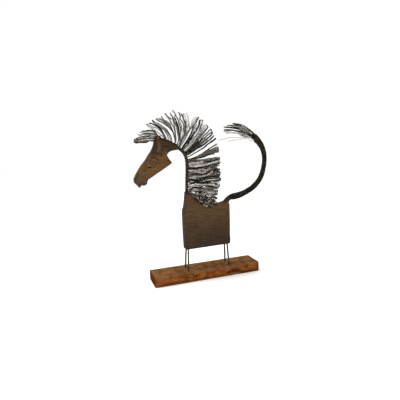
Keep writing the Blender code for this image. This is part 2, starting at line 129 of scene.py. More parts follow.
CORNER_GAP = 0.4 * MM

# The head's thickness in figure units, where its nape and muzzle grow thinner, and by what share

HEAD_THICKNESS = 18
NAPE_X = (-88, -60)
NAPE_Z = (214, 222)
MUZZLE_WAY = (-0.44, -0.9)
MUZZLE_REACH = (-120, -72)
NAPE_THINNING = 0.30
MUZZLE_THINNING = 0.22

# Strokes of the carving seen from the side: (its run, its width, its depth in millimetres, its dirt)

HEAD_CUTS = [
    ([(-123.8, 224.2), (-113.9, 224.8), (-104, 222.2), (-99, 217.9)], 2.6, 0.9, 0.65),
    ([(-120.4, 214.2), (-113, 213.6), (-108.9, 209.5), (-107, 207.3)], 1.9, 1.2, 0.8),
    ([(-124.5, 208.0), (-125.0, 202.8)], 1.8, 0.6, 0.5),
    ([(-122.0, 206.5), (-118.3, 204.6)], 1.4, 0.5, 0.4),
    ([(-111.5, 205.0), (-110.4, 201.6), (-112.5, 197.6)], 1.6, 0.7, 0.55),
    ([(-105.2, 203.5), (-104.6, 199.0)], 1.5, 0.5, 0.5),
    ([(-128.4, 193.2), (-124.3, 193.4)], 1.6, 1.6, 1.0),
    ([(-139.2, 186.0), (-132.7, 187.0)], 1.9, 0.8, 0.5),
    ([(-151.5, 157.5), (-146, 160.5), (-140, 161.5)], 1.2, 1.1, 0.5),
    ([(-150.5, 154.5), (-147.8, 151.0)], 2.6, 0.2, 0.9),
    ([(-158.0, 162.0), (-157.5, 170.0), (-152.0, 180.0)], 2.6, 0.2, 0.5),
    ([(-140.0, 156.5), (-133.0, 159.0), (-131.5, 164.0)], 1.8, 0.2, 0.4),
    ([(-117.5, 203.5), (-112.5, 199.0)], 8.0, 0.0, 0.22),
    ([(-121.0, 217.0), (-108.0, 217.5)], 3.5, 0.0, 0.2),
    ([(-98.0, 254.0), (-86.0, 250.5), (-74.0, 245.0), (-63.0, 238.5)], 4.6, 0.3, 0.85),
    ([(-92.0, 251.0), (-87.0, 243.0)], 1.5, 0.3, 0.6), ([(-83.0, 249.0), (-79.5, 240.0)], 1.5, 0.3, 0.6),
    ([(-76.0, 245.5), (-71.5, 236.5)], 1.6, 0.3, 0.55), ([(-81.0, 230.5), (-68.0, 231.5)], 3.0, 0.2, 0.4),
    ([(-78.0, 203.0), (-81.5, 209.0)], 1.6, 0.2, 0.45),
    ([(-100.1, 241.7), (-96.0, 233.2), (-95.2, 226.0)], 1.5, 0.5, 0.45),
    ([(-93.8, 243.4), (-90.2, 234.5)], 1.8, 0.4, 0.4),
    ([(-110.5, 250.0), (-112.5, 240.0), (-117.0, 230.5)], 4.2, 0.3, 0.62),
    ([(-108.7, 252.2), (-107.0, 249.0)], 1.6, 0.6, 0.55),
    ([(-101.5, 251.5), (-99.0, 248.5)], 1.4, 0.6, 0.6),
    ([(-87.0, 238.0), (-79.0, 235.0)], 5.0, 0.0, 0.35),
    ([(-94.0, 249.0), (-90.0, 246.5)], 2.0, 0.4, 0.45),
    ([(-84.0, 246.0), (-76.0, 240.5), (-70.0, 236.0)], 1.6, 0.4, 0.4),
    ([(-86.5, 226.5), (-80.5, 229.0), (-72.0, 232.5)], 2.2, 0.4, 0.5),
    ([(-83.5, 206.5), (-80.5, 203.0)], 1.8, 0.3, 0.5),
    ([(-108.0, 181.8), (-98.0, 187.5), (-84.0, 196.0), (-77.5, 199.5)], 1.3, 0.2, 0.5)]
HEAD_RED = [
    ([(-121.9, 220.0), (-112.5, 220.0)], 2.8, 0.9),
    ([(-129.5, 211.0), (-134.5, 203.0)], 3.0, 0.9),
    ([(-136.5, 200.0), (-134.0, 196.0)], 3.2, 0.6),
    ([(-86.5, 206.0), (-82.5, 204.5)], 2.6, 0.9),
    ([(-90.5, 232.0), (-92.0, 226.0)], 3.0, 0.7),
    ([(-119.0, 197.5), (-116.5, 194.0)], 2.2, 0.5)]
HEAD_RUBBED = [
    ([(-103.1, 244.5), (-102.0, 234.0), (-105.0, 226.3)], 2.8, 0.55),
    ([(-118.0, 209.2), (-112.5, 208.6), (-109.8, 205.6)], 1.6, 0.8),
    ([(-127.0, 197.6), (-126.4, 195.4)], 1.8, 0.7),
    ([(-106.0, 198.0), (-109.5, 192.0), (-117.0, 188.6), (-128.0, 188.6)], 1.5, 0.5),
    ([(-105.0, 254.0), (-103.0, 256.5)], 2.2, 0.6),
    ([(-86.0, 226.0), (-88.5, 219.0)], 2.4, 0.5)]

# The neck, from inside the stub up and over into the head

NECK_FOOT = (-41.6, 118)
NECK_UP = [(-41.6, 132.5), (-40.4, 160), (-38.9, 182), (-39.0, 202), (-41.2, 212.2), (-45.4, 220.8),
           (-51.3, 227.4), (-60.0, 233.2)]
NECK_END = (-72.5, 237.3)

# The neck's ropes of three wires, the turn from wire to wire, and one twist's length in figure units

NECK_ROPES = 4
ROPE_STEP = 0.055
NECK_LAY = 30

# The tail: (x, z, share of its thickness) along its middle, from the horn to where it frays

TAIL = [(65, 110.2, 0.94), (72, 111.4, 1.18), (81, 112.6, 1.25), (93, 114.7, 1.18), (106, 119.1, 1.08),
        (119.7, 125.6, 1.05), (130.5, 132.6, 1.07), (140.4, 141.8, 1.02), (149.4, 154.4, 1.00),
        (155.9, 172, 0.94), (159, 190, 0.90), (159, 204, 0.94), (155.4, 219.5, 1.00),
        (148.6, 232.2, 1.13), (140, 242.8, 1.22), (132.5, 250.6, 1.18), (126, 256, 0.86)]

# The tail's wires, one twist's length, and its core's and its plug's shares of its width

TAIL_WIRES = 22
TAIL_LAY = 110
TAIL_CORE = 0.74
PLUG_SHARE = 0.5

# How far the tail's plug goes into the horn, in figure units

PLUG_LENGTH = 8

# Enlarged views of the photograph for reading strands: (left and top in its pixels, enlargement)

FRONT_VIEW = (133, 106, 31.36)
CROWN_VIEW = (176, 110, 31.36)
CREST_VIEW = (184, 108, 30.15)
UPPER_VIEW = (180, 140, 26.13)
FAN_VIEW = (182, 152, 26.13)
WIDE_VIEW = (180, 150, 24.12)
MIDDLE_VIEW = (184, 154, 39.2)
FOOT_VIEW = (184, 180, 39.2)
BROW_VIEW = (130, 126, 43.56)
TUFT_VIEW = (216, 119, 1568 / 48)

# The mane's strands, read in those views: (lock, tone, view, points from the root)

MANE_STRANDS = [
    (1, "grey", FRONT_VIEW, [(1000, 980), (950, 900), (900, 830), (850, 770), (790, 720), (720, 680),
        (640, 665), (570, 640), (500, 605), (430, 575)]),
    (1, "pale", FRONT_VIEW, [(1010, 1020), (960, 970), (870, 910), (780, 830), (700, 760), (600, 720),
        (520, 680), (440, 590)]),
    (1, "pale", FRONT_VIEW, [(980, 965), (900, 915), (820, 860), (750, 800), (680, 740), (570, 680),
        (480, 620)]),
    (2, "dark", FRONT_VIEW, [(1030, 1010), (1010, 960), (970, 880), (930, 810), (870, 740), (820, 690),
        (750, 640), (680, 600), (600, 560), (520, 540)]),
    (2, "dark", FRONT_VIEW, [(1040, 1010), (1000, 930), (950, 840), (910, 770), (860, 710), (800, 655),
        (720, 610), (680, 550), (620, 470)]),
    (3, "dark", FRONT_VIEW, [(1220, 1120), (1210, 1040), (1190, 960), (1150, 890), (1110, 820),
        (1060, 750), (990, 690), (920, 640), (870, 600), (800, 560), (720, 530), (660, 500), (610, 450)]),
    (3, "grey", FRONT_VIEW, [(1110, 1020), (1080, 940), (1040, 860), (1000, 780), (940, 720), (860, 670),
        (780, 610), (700, 590)]),
    (4, "grey", FRONT_VIEW, [(1175, 1050), (1150, 980), (1110, 900), (1060, 810), (1010, 740), (930, 690),
        (850, 620), (760, 570)]),
    (4, "dark", FRONT_VIEW, [(1320, 1140), (1310, 1040), (1290, 950), (1270, 870), (1240, 800),
        (1190, 740), (1140, 680), (1080, 630), (1010, 580), (940, 530), (860, 490), (780, 450),
        (730, 410)]),
    (4, "grey", FRONT_VIEW, [(1130, 640), (1080, 590), (1010, 530), (940, 470), (860, 420), (760, 400)]),
    (5, "dark", FRONT_VIEW, [(1330, 1140), (1320, 1040), (1300, 940), (1265, 840), (1240, 770),
        (1210, 690), (1180, 630), (1140, 580), (1090, 530), (1030, 480), (960, 430), (920, 380),
        (890, 340)]),
    (5, "grey", FRONT_VIEW, [(1250, 430), (1190, 400), (1120, 360), (1060, 300), (1010, 240)]),
    (6, "grey", FRONT_VIEW, [(1290, 700), (1270, 650), (1230, 590), (1180, 530), (1160, 450), (1120, 380),
        (1070, 310), (1010, 240)]),
    (6, "grey", FRONT_VIEW, [(1290, 480), (1270, 410), (1240, 350), (1200, 290), (1170, 230)]),
    (7, "dark", FRONT_VIEW, [(1370, 500), (1330, 430), (1300, 350), (1330, 290), (1300, 210),
        (1250, 150)]),
    (8, "grey", FRONT_VIEW, [(1445, 540), (1420, 450), (1390, 380), (1340, 290)]),
    (8, "grey", FRONT_VIEW, [(1430, 1080), (1425, 950), (1425, 830), (1420, 720), (1400, 640), (1370, 560),
        (1350, 480), (1335, 400)]),
    (8, "dark", FRONT_VIEW, [(1430, 1100), (1425, 950), (1425, 800), (1415, 680), (1390, 590),
        (1350, 470)]),
    (9, "grey", CROWN_VIEW, [(130, 1020), (140, 930), (135, 790), (140, 700), (150, 560), (140, 470),
        (110, 380)]),
    (9, "grey", CROWN_VIEW, [(140, 1120), (180, 1000), (200, 900), (230, 820), (250, 740), (240, 660),
        (230, 580), (240, 500), (220, 420), (170, 340), (125, 270), (130, 170), (90, 80)]),
    (10, "dark", CROWN_VIEW, [(150, 1080), (190, 960), (220, 870), (260, 780), (290, 700), (300, 610),
        (310, 540), (305, 440), (280, 360), (235, 280), (205, 200), (170, 130)]),
    (10, "grey", CROWN_VIEW, [(150, 1060), (180, 980), (205, 880), (235, 800), (270, 720), (270, 620),
        (280, 520), (280, 440), (250, 350), (230, 250), (240, 120)]),
    (10, "pale", CROWN_VIEW, [(340, 640), (350, 540), (345, 430), (330, 340), (300, 260), (290, 170)]),
    (10, "pale", CROWN_VIEW, [(400, 650), (415, 560), (410, 440), (390, 320), (370, 200), (330, 110)]),
    (11, "pale", CROWN_VIEW, [(440, 580), (480, 490), (490, 420), (515, 320), (540, 270), (590, 230)]),
    (11, "grey", CROWN_VIEW, [(165, 1100), (200, 1020), (240, 940), (280, 860), (310, 790), (350, 720),
        (420, 640), (470, 580), (540, 520), (600, 430)]),
    (12, "pale", CROWN_VIEW, [(470, 560), (500, 470), (530, 400), (580, 350), (610, 280), (650, 225)]),
    (12, "dark", CROWN_VIEW, [(200, 1180), (240, 1110), (290, 1040), (340, 980), (390, 900), (430, 830),
        (480, 740), (500, 650), (540, 560), (570, 480), (600, 430), (640, 370), (670, 300), (705, 235)]),
    (13, "dark", CROWN_VIEW, [(250, 1130), (300, 1070), (350, 1020), (400, 960), (450, 890), (500, 830),
        (540, 770), (580, 710), (630, 660), (650, 590), (700, 520), (735, 420), (745, 325)]),
    (13, "dark", CROWN_VIEW, [(270, 1190), (310, 1150), (380, 1090), (380, 1040), (420, 970), (480, 910),
        (505, 850), (550, 770), (600, 700), (640, 640), (680, 560), (720, 470), (730, 400), (745, 330),
        (830, 325)]),
    (13, "grey", CROWN_VIEW, [(290, 1200), (330, 1150), (390, 1090), (450, 1030), (510, 960), (570, 870),
        (640, 790), (700, 720), (740, 620), (770, 540), (800, 460), (830, 400), (835, 340)]),
    (13, "dark", CROWN_VIEW, [(310, 1160), (370, 1110), (420, 1060), (480, 1000), (540, 930), (600, 840),
        (670, 750), (735, 650), (765, 540), (805, 450)]),
    (14, "pale", CROWN_VIEW, [(610, 860), (680, 770), (740, 680), (780, 610), (830, 550), (900, 490)]),
    (14, "pale", CROWN_VIEW, [(540, 1000), (600, 920), (660, 840), (720, 760), (780, 680), (850, 600),
        (910, 530)]),
    (14, "grey", CROWN_VIEW, [(690, 960), (720, 910), (770, 850), (820, 780), (880, 710), (940, 630),
        (1000, 545), (965, 490), (910, 475)]),
    (15, "dark", CROWN_VIEW, [(370, 1320), (420, 1270), (480, 1200), (540, 1140), (600, 1070), (660, 1000),
        (700, 930), (750, 880), (800, 810), (850, 740), (900, 670), (950, 600), (1000, 545)]),
    (15, "dark", CROWN_VIEW, [(370, 1280), (430, 1220), (490, 1170), (540, 1110), (600, 1070), (650, 1020),
        (700, 970)]),
    (15, "grey", CROWN_VIEW, [(380, 1310), (430, 1260), (500, 1190), (580, 1130), (650, 1070), (720, 1010),
        (770, 930), (830, 860), (890, 790), (950, 740), (1000, 690), (1040, 640), (1090, 600)]),
    (16, "dark", CROWN_VIEW, [(390, 1330), (450, 1280), (520, 1220), (590, 1160), (660, 1100), (730, 1030),
        (780, 970), (840, 910), (900, 870), (960, 810), (1030, 760), (1095, 715), (1140, 740)]),
    (16, "dark", CROWN_VIEW, [(440, 1340), (520, 1270), (590, 1220), (650, 1160), (730, 1100), (810, 1040),
        (880, 970), (950, 930), (1010, 880), (1080, 820), (1130, 750)]),
    (16, "grey", CROWN_VIEW, [(480, 1290), (550, 1230), (620, 1180), (690, 1120), (760, 1080), (830, 1010),
        (900, 950), (980, 890), (1060, 820), (1140, 740), (1115, 660), (1100, 610)]),
    (17, "dark", CROWN_VIEW, [(400, 1390), (440, 1350), (520, 1290), (600, 1230), (680, 1180), (750, 1140),
        (830, 1100), (910, 1050), (980, 1000), (1040, 950), (1100, 890), (1140, 850), (1185, 810)]),
    (17, "grey", CROWN_VIEW, [(430, 1380), (500, 1330), (590, 1270), (660, 1220), (740, 1180), (820, 1130),
        (890, 1080), (960, 1020), (1000, 980), (1070, 930), (1140, 860)]),
    (17, "dark", CROWN_VIEW, [(420, 1450), (480, 1420), (560, 1370), (640, 1320), (720, 1270), (800, 1220),
        (880, 1170), (930, 1120), (980, 1080), (1050, 1030), (1120, 980), (1180, 940), (1240, 890)]),
    (17, "dark", CROWN_VIEW, [(440, 1440), (520, 1390), (600, 1340), (700, 1290), (780, 1240), (870, 1190),
        (940, 1130), (1000, 1070), (1080, 1020), (1160, 970), (1240, 905)]),
    (18, "dark", CREST_VIEW, [(140, 1550), (340, 1490), (440, 1430), (540, 1380), (730, 1250), (900, 1140),
        (990, 1090)]),
    (18, "grey", UPPER_VIEW, [(500, 400), (650, 330), (780, 290), (900, 230), (1000, 200)]),
    (18, "grey", CREST_VIEW, [(440, 1440), (600, 1370), (750, 1290), (900, 1230), (1040, 1200)]),
    (18, "grey", CROWN_VIEW, [(940, 1290), (1010, 1230), (1080, 1190), (1180, 1130), (1280, 1070)]),
    (19, "grey", CREST_VIEW, [(140, 1550), (250, 1515), (440, 1450), (600, 1400), (750, 1330), (900, 1290),
        (1040, 1250)]),
    (19, "grey", UPPER_VIEW, [(480, 430), (640, 370), (780, 330), (900, 280), (1010, 250)]),
    (19, "grey", CREST_VIEW, [(440, 1480), (600, 1430), (750, 1365), (900, 1340), (1040, 1300)]),
    (19, "grey", UPPER_VIEW, [(420, 470), (600, 420), (760, 370), (880, 330), (1000, 310)]),
    (19, "dark", CREST_VIEW, [(140, 1570), (250, 1540), (430, 1510), (600, 1470), (750, 1400),
        (900, 1380)]),
    (20, "grey", FAN_VIEW, [(800, 170), (980, 150)]),
    (20, "grey", MIDDLE_VIEW, [(760, 250), (1000, 190), (1150, 160), (1280, 140), (1380, 170)]),
    (20, "dark", FAN_VIEW, [(700, 270), (740, 250), (860, 215), (960, 190)]),
    (20, "dark", MIDDLE_VIEW, [(1000, 320), (1120, 290), (1200, 250), (1380, 210)]),
    (20, "dark", MIDDLE_VIEW, [(200, 340), (420, 290), (560, 270), (700, 250), (850, 220), (930, 230),
        (960, 270)]),
    (21, "grey", MIDDLE_VIEW, [(600, 300), (760, 310), (860, 300), (960, 270)]),
    (21, "pale", MIDDLE_VIEW, [(760, 420), (880, 400), (1030, 370), (1170, 330), (1250, 310),
        (1400, 270)]),
    (21, "pale", FAN_VIEW, [(560, 330), (700, 300), (860, 265), (980, 240)]),
    (21, "pale", MIDDLE_VIEW, [(200, 370), (340, 340), (480, 340), (620, 330), (720, 300)]),
    (21, "dark", MIDDLE_VIEW, [(200, 530), (350, 530), (480, 540), (560, 580), (700, 540), (820, 500),
        (960, 460), (1150, 390), (1280, 370), (1400, 320)]),
    (21, "dark", FAN_VIEW, [(430, 400), (540, 390), (620, 370), (740, 340), (820, 310), (920, 300),
        (990, 275)]),
    (21, "grey", MIDDLE_VIEW, [(200, 420), (400, 400), (540, 400), (670, 390), (780, 360), (900, 370)]),
    (21, "grey", FAN_VIEW, [(800, 400), (880, 370), (960, 350)]),
    (22, "dark", FAN_VIEW, [(760, 400), (900, 330)]),
    (22, "grey", MIDDLE_VIEW, [(900, 530), (1050, 500), (1180, 480), (1250, 440)]),
    (22, "grey", FAN_VIEW, [(600, 500), (700, 480), (820, 440), (900, 400)]),
    (22, "dark", FAN_VIEW, [(900, 455), (980, 450)]),
    (22, "grey", UPPER_VIEW, [(700, 850), (820, 810), (930, 790), (1030, 780)]),
    (22, "pale", MIDDLE_VIEW, [(180, 640), (330, 640), (470, 650), (620, 610), (760, 610), (860, 640),
        (1010, 560)]),
    (22, "pale", MIDDLE_VIEW, [(230, 485), (370, 485), (470, 450)]),
    (22, "dark", UPPER_VIEW, [(210, 742), (330, 745), (450, 740), (560, 745)]),
    (23, "dark", MIDDLE_VIEW, [(220, 860), (330, 850), (470, 800), (600, 830), (720, 790), (950, 740),
        (1030, 680), (1100, 640), (1240, 600)]),
    (23, "dark", FAN_VIEW, [(300, 580), (440, 600), (560, 580), (700, 540), (800, 490), (870, 460)]),
    (23, "dark", FAN_VIEW, [(860, 650), (900, 630), (980, 600), (990, 520)]),
    (23, "dark", MIDDLE_VIEW, [(790, 910), (890, 900), (1030, 840), (1080, 760), (1150, 700), (1240, 660),
        (1400, 700)]),
    (23, "grey", UPPER_VIEW, [(760, 890), (840, 860), (940, 850), (1035, 835)]),
    (23, "grey", MIDDLE_VIEW, [(1000, 850), (1120, 790), (1250, 750), (1400, 750)]),
    (23, "grey", UPPER_VIEW, [(780, 930), (860, 905), (950, 900), (1035, 890)]),
    (23, "dark", MIDDLE_VIEW, [(980, 910), (1120, 890), (1240, 880), (1340, 830), (1400, 790)]),
    (23, "pale", MIDDLE_VIEW, [(380, 890), (500, 880), (640, 890), (830, 850), (960, 800), (1050, 740),
        (1100, 690)]),
    (23, "pale", MIDDLE_VIEW, [(240, 720), (340, 725), (480, 710), (620, 720), (760, 730), (830, 700)]),
    (24, "dark", UPPER_VIEW, [(790, 945), (860, 960), (940, 950), (1030, 930)]),
    (24, "grey", UPPER_VIEW, [(700, 1000), (800, 985), (920, 975), (1020, 965)]),
    (24, "pale", FAN_VIEW, [(300, 640), (480, 650), (640, 600), (760, 560)]),
    (24, "dark", FAN_VIEW, [(740, 685), (860, 680), (960, 670), (1000, 700)]),
    (24, "dark", MIDDLE_VIEW, [(600, 1000), (820, 985), (1040, 950), (1250, 940), (1390, 940),
        (1430, 980)]),
    (24, "pale", FAN_VIEW, [(760, 722), (860, 718), (985, 715)]),
    (24, "pale", UPPER_VIEW, [(790, 1034), (900, 1032), (1010, 1032)]),
    (24, "dark", FAN_VIEW, [(760, 760), (860, 755), (990, 740)]),
    (24, "dark", FAN_VIEW, [(540, 670), (620, 660), (700, 640)]),
    (24, "dark", UPPER_VIEW, [(240, 940), (300, 915), (350, 880), (460, 885), (560, 890)]),
    (25, "dark", MIDDLE_VIEW, [(860, 1060), (1050, 1060), (1240, 1050), (1390, 1040), (1430, 1010)]),
    (25, "pale", FAN_VIEW, [(780, 790), (860, 800), (960, 780)]),
    (25, "pale", UPPER_VIEW, [(880, 1112), (940, 1108), (1015, 1098)]),
    (25, "dark", FAN_VIEW, [(840, 820), (920, 850)]),
    (25, "dark", FOOT_VIEW, [(1080, 60), (1140, 110), (1200, 140), (1270, 170)]),
    (25, "dark", FAN_VIEW, [(400, 802), (520, 798), (640, 806), (740, 800)]),
    (25, "dark", MIDDLE_VIEW, [(220, 1000), (370, 1000), (440, 1040), (480, 1098), (740, 990),
        (820, 990)]),
    (25, "dark", FOOT_VIEW, [(540, 110), (720, 110), (860, 120), (980, 130)]),
    (25, "pale", MIDDLE_VIEW, [(210, 940), (320, 950), (430, 950)]),
    (25, "dark", UPPER_VIEW, [(400, 1110), (330, 1130), (240, 1110), (250, 1055), (340, 1040),
        (400, 1060)]),
    (26, "pale", FOOT_VIEW, [(480, 170), (700, 180), (880, 170), (1050, 180), (1160, 180), (1230, 220),
        (1330, 210), (1390, 150)]),
    (26, "dark", FAN_VIEW, [(320, 940), (420, 930), (530, 890), (600, 870), (740, 900), (860, 900),
        (960, 905), (980, 870)]),
    (26, "dark", FOOT_VIEW, [(380, 300), (500, 290), (640, 270), (760, 220), (840, 230), (950, 250),
        (1080, 220), (1160, 240), (1260, 270), (1380, 220)]),
    (26, "pale", FAN_VIEW, [(370, 850), (520, 845), (640, 850), (760, 850), (860, 880), (940, 885)]),
    (26, "grey", FAN_VIEW, [(560, 960), (700, 940), (800, 945), (940, 950)]),
    (26, "pale", FOOT_VIEW, [(300, 240), (460, 250), (620, 245)]),
    (26, "pale", FOOT_VIEW, [(160, 215), (300, 210)]),
    (27, "pale", FOOT_VIEW, [(320, 370), (440, 370), (560, 375), (640, 330), (780, 310), (860, 300),
        (1000, 320), (1150, 330), (1300, 330)]),
    (27, "grey", FOOT_VIEW, [(1070, 420), (1180, 410), (1310, 410)]),
    (27, "grey", FAN_VIEW, [(740, 1020), (860, 1030), (920, 1020)]),
    (27, "grey", FOOT_VIEW, [(960, 450), (1070, 440), (1180, 450), (1310, 440)]),
    (27, "grey", FOOT_VIEW, [(1080, 470), (1180, 480), (1310, 475)]),
    (27, "pale", FOOT_VIEW, [(640, 420), (760, 400), (880, 410), (1040, 400)]),
    (27, "dark", UPPER_VIEW, [(340, 1245), (480, 1245), (600, 1240)]),
    (27, "pale", FAN_VIEW, [(250, 975), (330, 980), (440, 985)]),
    (27, "pale", FOOT_VIEW, [(240, 410), (190, 410), (160, 360), (200, 310), (290, 280)]),
    (28, "dark", FAN_VIEW, [(740, 1115), (800, 1120), (860, 1100), (920, 1090)]),
    (28, "dark", FOOT_VIEW, [(1050, 560), (1120, 580), (1200, 560), (1290, 580)]),
    (28, "pale", FAN_VIEW, [(690, 1060), (760, 1060), (840, 1065)]),
    (28, "pale", FOOT_VIEW, [(960, 480), (1160, 500)]),
    (28, "pale", FOOT_VIEW, [(880, 560), (980, 570), (1060, 600), (1190, 610)]),
    (28, "dark", FOOT_VIEW, [(560, 450), (680, 440), (900, 450)]),
    (28, "dark", UPPER_VIEW, [(330, 1340), (450, 1340), (560, 1350)]),
    (28, "pale", FAN_VIEW, [(270, 1080), (370, 1090), (460, 1100), (540, 1105)]),
    (28, "pale", FOOT_VIEW, [(310, 520), (420, 530), (560, 540), (620, 570), (730, 570)]),
    (28, "dark", FOOT_VIEW, [(350, 430), (450, 430), (560, 450), (640, 480), (700, 520)]),
    (29, "grey", FOOT_VIEW, [(1100, 660), (1160, 690), (1240, 720), (1290, 725)]),
    (29, "dark", FAN_VIEW, [(800, 1160), (850, 1195), (900, 1210)]),
    (29, "dark", FOOT_VIEW, [(650, 690), (760, 690), (880, 700)]),
    (29, "dark", FOOT_VIEW, [(350, 570), (450, 600), (540, 620), (650, 610), (720, 620)]),
    (30, "dark", FOOT_VIEW, [(1130, 760), (1210, 850)]),
    (30, "dark", FOOT_VIEW, [(880, 820), (1000, 830), (1130, 820)]),
    (29, "pale", WIDE_VIEW, [(200, 1025), (280, 1030), (350, 1050), (440, 1060), (540, 1075)]),
    (29, "grey", WIDE_VIEW, [(230, 1050), (330, 1065), (430, 1085), (520, 1090)]),
    (29, "dark", WIDE_VIEW, [(300, 1070), (400, 1100), (500, 1115), (600, 1130)]),
    (30, "dark", WIDE_VIEW, [(530, 1060), (600, 1100), (680, 1150), (760, 1190), (820, 1220)]),
    (30, "grey", WIDE_VIEW, [(640, 1030), (700, 1080), (780, 1110), (850, 1130), (890, 1165)]),
    (30, "dark", WIDE_VIEW, [(560, 1140), (650, 1160), (740, 1150), (820, 1130), (890, 1160)]),
    (30, "dark", WIDE_VIEW, [(600, 1060), (680, 1075), (760, 1065), (840, 1080), (890, 1075)]),
    (30, "dark", WIDE_VIEW, [(520, 1180), (600, 1210), (680, 1220), (760, 1225), (840, 1235)]),
]

# The forelocks' strands in the same way; the ones without a view are drawn in figure units

FORELOCK_STRANDS = [
    (1, "dark", BROW_VIEW, [(1150, 500), (1000, 450), (860, 440), (700, 430), (560, 460), (400, 500),
        (270, 560), (190, 600)]),
    (1, "dark", BROW_VIEW, [(1120, 640), (1000, 660), (850, 645), (780, 680), (680, 720), (400, 720),
        (280, 740), (190, 700)]),
    (1, "grey", BROW_VIEW, [(1100, 560), (900, 545), (640, 550), (450, 600), (300, 640), (190, 640)]),
    (1, "grey", BROW_VIEW, [(1080, 610), (900, 610), (760, 640), (620, 650), (480, 670), (330, 690),
        (185, 670)]),
    (1, "grey", BROW_VIEW, [(1100, 520), (900, 500), (760, 480), (640, 500), (480, 550), (330, 600),
        (200, 620)]),
    (1, "grey", None, [(-107, 249), (-117.5, 249.8), (-128.7, 249.1), (-133.7, 247.8), (-139.6, 247.5),
        (-147, 247), (-154, 248.5)]),
    (1, "pale", BROW_VIEW, [(1100, 600), (950, 595), (780, 595), (620, 590)]),
    (2, "grey", BROW_VIEW, [(1150, 420), (1000, 330), (850, 310), (700, 310), (560, 320)]),
    (2, "grey", BROW_VIEW, [(1180, 420), (1080, 340), (900, 320), (820, 370)]),
    (2, "grey", None, [(-104.5, 260.5), (-110, 263), (-120, 264.5), (-130, 264), (-135.8, 263.3),
        (-138.3, 261.9), (-141.2, 262), (-144.1, 263.5)]),
    (2, "pale", BROW_VIEW, [(1180, 460), (1060, 420), (930, 400)]),
    (3, "dark", BROW_VIEW, [(1200, 400), (1140, 310), (1080, 220), (980, 190), (860, 190), (720, 200),
        (640, 240), (580, 220), (460, 290)]),
    (3, "grey", BROW_VIEW, [(1160, 400), (1080, 290), (980, 240), (850, 225), (700, 230), (580, 240)]),
]

# The strands of the tail's tuft, read in TUFT_VIEW: (tone, points from the bundle)

TUFT_STRANDS = [
    ("dark", [(1250, 560), (1050, 470), (900, 400), (750, 330), (600, 300), (450, 280), (270, 270)]),
    ("dark", [(1270, 600), (1080, 490), (920, 410), (780, 345), (640, 312), (480, 285), (330, 262)]),
    ("dark", [(1300, 520), (1150, 390), (1000, 280), (880, 210), (740, 172), (560, 150)]),
    ("dark", [(1320, 560), (1200, 440), (1060, 330), (930, 240), (800, 185), (640, 160)]),
    ("grey", [(1200, 480), (1000, 330), (850, 250), (700, 215), (560, 205), (440, 210), (380, 215)]),
    ("grey", [(1250, 520), (1100, 400), (930, 300), (780, 235), (620, 215), (480, 215)]),
    ("grey", [(1290, 640), (1100, 520), (900, 430), (700, 385), (530, 370), (400, 350), (270, 355)]),
    ("grey", [(1100, 550), (900, 450), (720, 405), (530, 372), (420, 385), (270, 400)]),
    ("dark", [(1150, 560), (1000, 470), (860, 420), (700, 395), (560, 372), (470, 372)]),
    ("grey", [(1100, 620), (980, 600), (850, 560), (740, 500), (640, 465), (540, 466), (330, 475)]),
    ("dark", [(1150, 600), (1000, 540), (860, 520), (740, 495), (640, 465), (520, 470)]),
    ("grey", [(1100, 600), (950, 610), (770, 605), (560, 600), (350, 630), (200, 670), (60, 700)]),
    ("grey", [(1150, 640), (1030, 635), (880, 650), (700, 680), (550, 698), (400, 735)]),
    ("dark", [(1250, 700), (1150, 650), (1030, 635), (900, 648), (780, 660)]),
    ("pale", [(960, 600), (800, 540), (750, 460), (640, 400), (580, 360)]),
    ("pale", [(1120, 560), (1000, 500), (900, 480), (800, 470)]),
    ("pale", [(1000, 360), (900, 300), (800, 262), (700, 245), (560, 240)]),
    ("pale", [(1290, 790), (1200, 720), (1080, 690)]),
    ("pale", [(1190, 470), (1100, 400), (960, 300), (850, 215)]),
]

# Cut ends of wire that look out of the mane and the tangle: (view, their places)

CUT_ENDS = [
    (MIDDLE_VIEW, [(230, 485), (370, 485), (450, 470), (400, 400), (540, 400), (670, 390), (620, 640),
        (1120, 500), (570, 990), (680, 990), (190, 420)]),
    (FOOT_VIEW, [(820, 930), (950, 915), (1100, 940), (1210, 915), (930, 620), (1240, 570), (640, 670),
        (220, 490), (260, 480), (560, 760), (600, 880)]),
]

TONES = ("dark", "grey", "pale")

# Locks after which the fan is open, counted from the brow down

MANE_GAPS = (3, 17, 19)

# The first lock behind the crown, the first of the thicker ones and the first at the foot

BACK_LOCK = 12
THICK_LOCK = 19
FOOT_LOCK = 27

# How far from the crest a strand that has its own root may start, in figure units

ROOT_REACH = 8

# A long strand has this share of its lock's reach, or among the thick locks this reach in figure units

LONG_SHARE = 0.85
LONG_STRAND = 28

# How many points a run has when two runs are compared

RUN_POINTS = 12

# Wires between neighbouring long strands: (gap in mm, tones, fewest of RUN_POINTS, far side in mm)

FRONT_FILL = (6.0, (1, 2, 2, 2), 9, 8.0)
UPPER_FILL = (1.3, (0, 0, 1, 1, 2, 2), 9, 8.0)
FOOT_FILL = (1.4, (0, 0, 0, 1, 2), 10, 8.0)
FORELOCK_FILL = (4.0, (1, 1, 2), 10, 4.0)
LOWER_FILL = (1.8, (0, 1, 1, 1, 2, 2), 12, 8.0)
TUFT_FILL = (2.0, (0, 0, 1, 1, 2), 8, 5.0)

# The mane's zones: (first lock, spread of a strand in mm, single wires behind it, wires between)

MANE_ZONES = [(1, 0.9, 1, FRONT_FILL), (BACK_LOCK, 0.9, 2, UPPER_FILL), (THICK_LOCK, 1.15, 5, LOWER_FILL),
              (FOOT_LOCK, 1.15, 5, FOOT_FILL)]

# The forelocks' and the tuft's strands: their spread in millimetres, and single wires behind each

FORELOCK_SPREAD = 0.8
FORELOCK_COPIES = 3
TUFT_SPREAD = 0.9
TUFT_COPIES = 5

# How far strands spread to the near and the far side at their roots and their tips, in millimetres

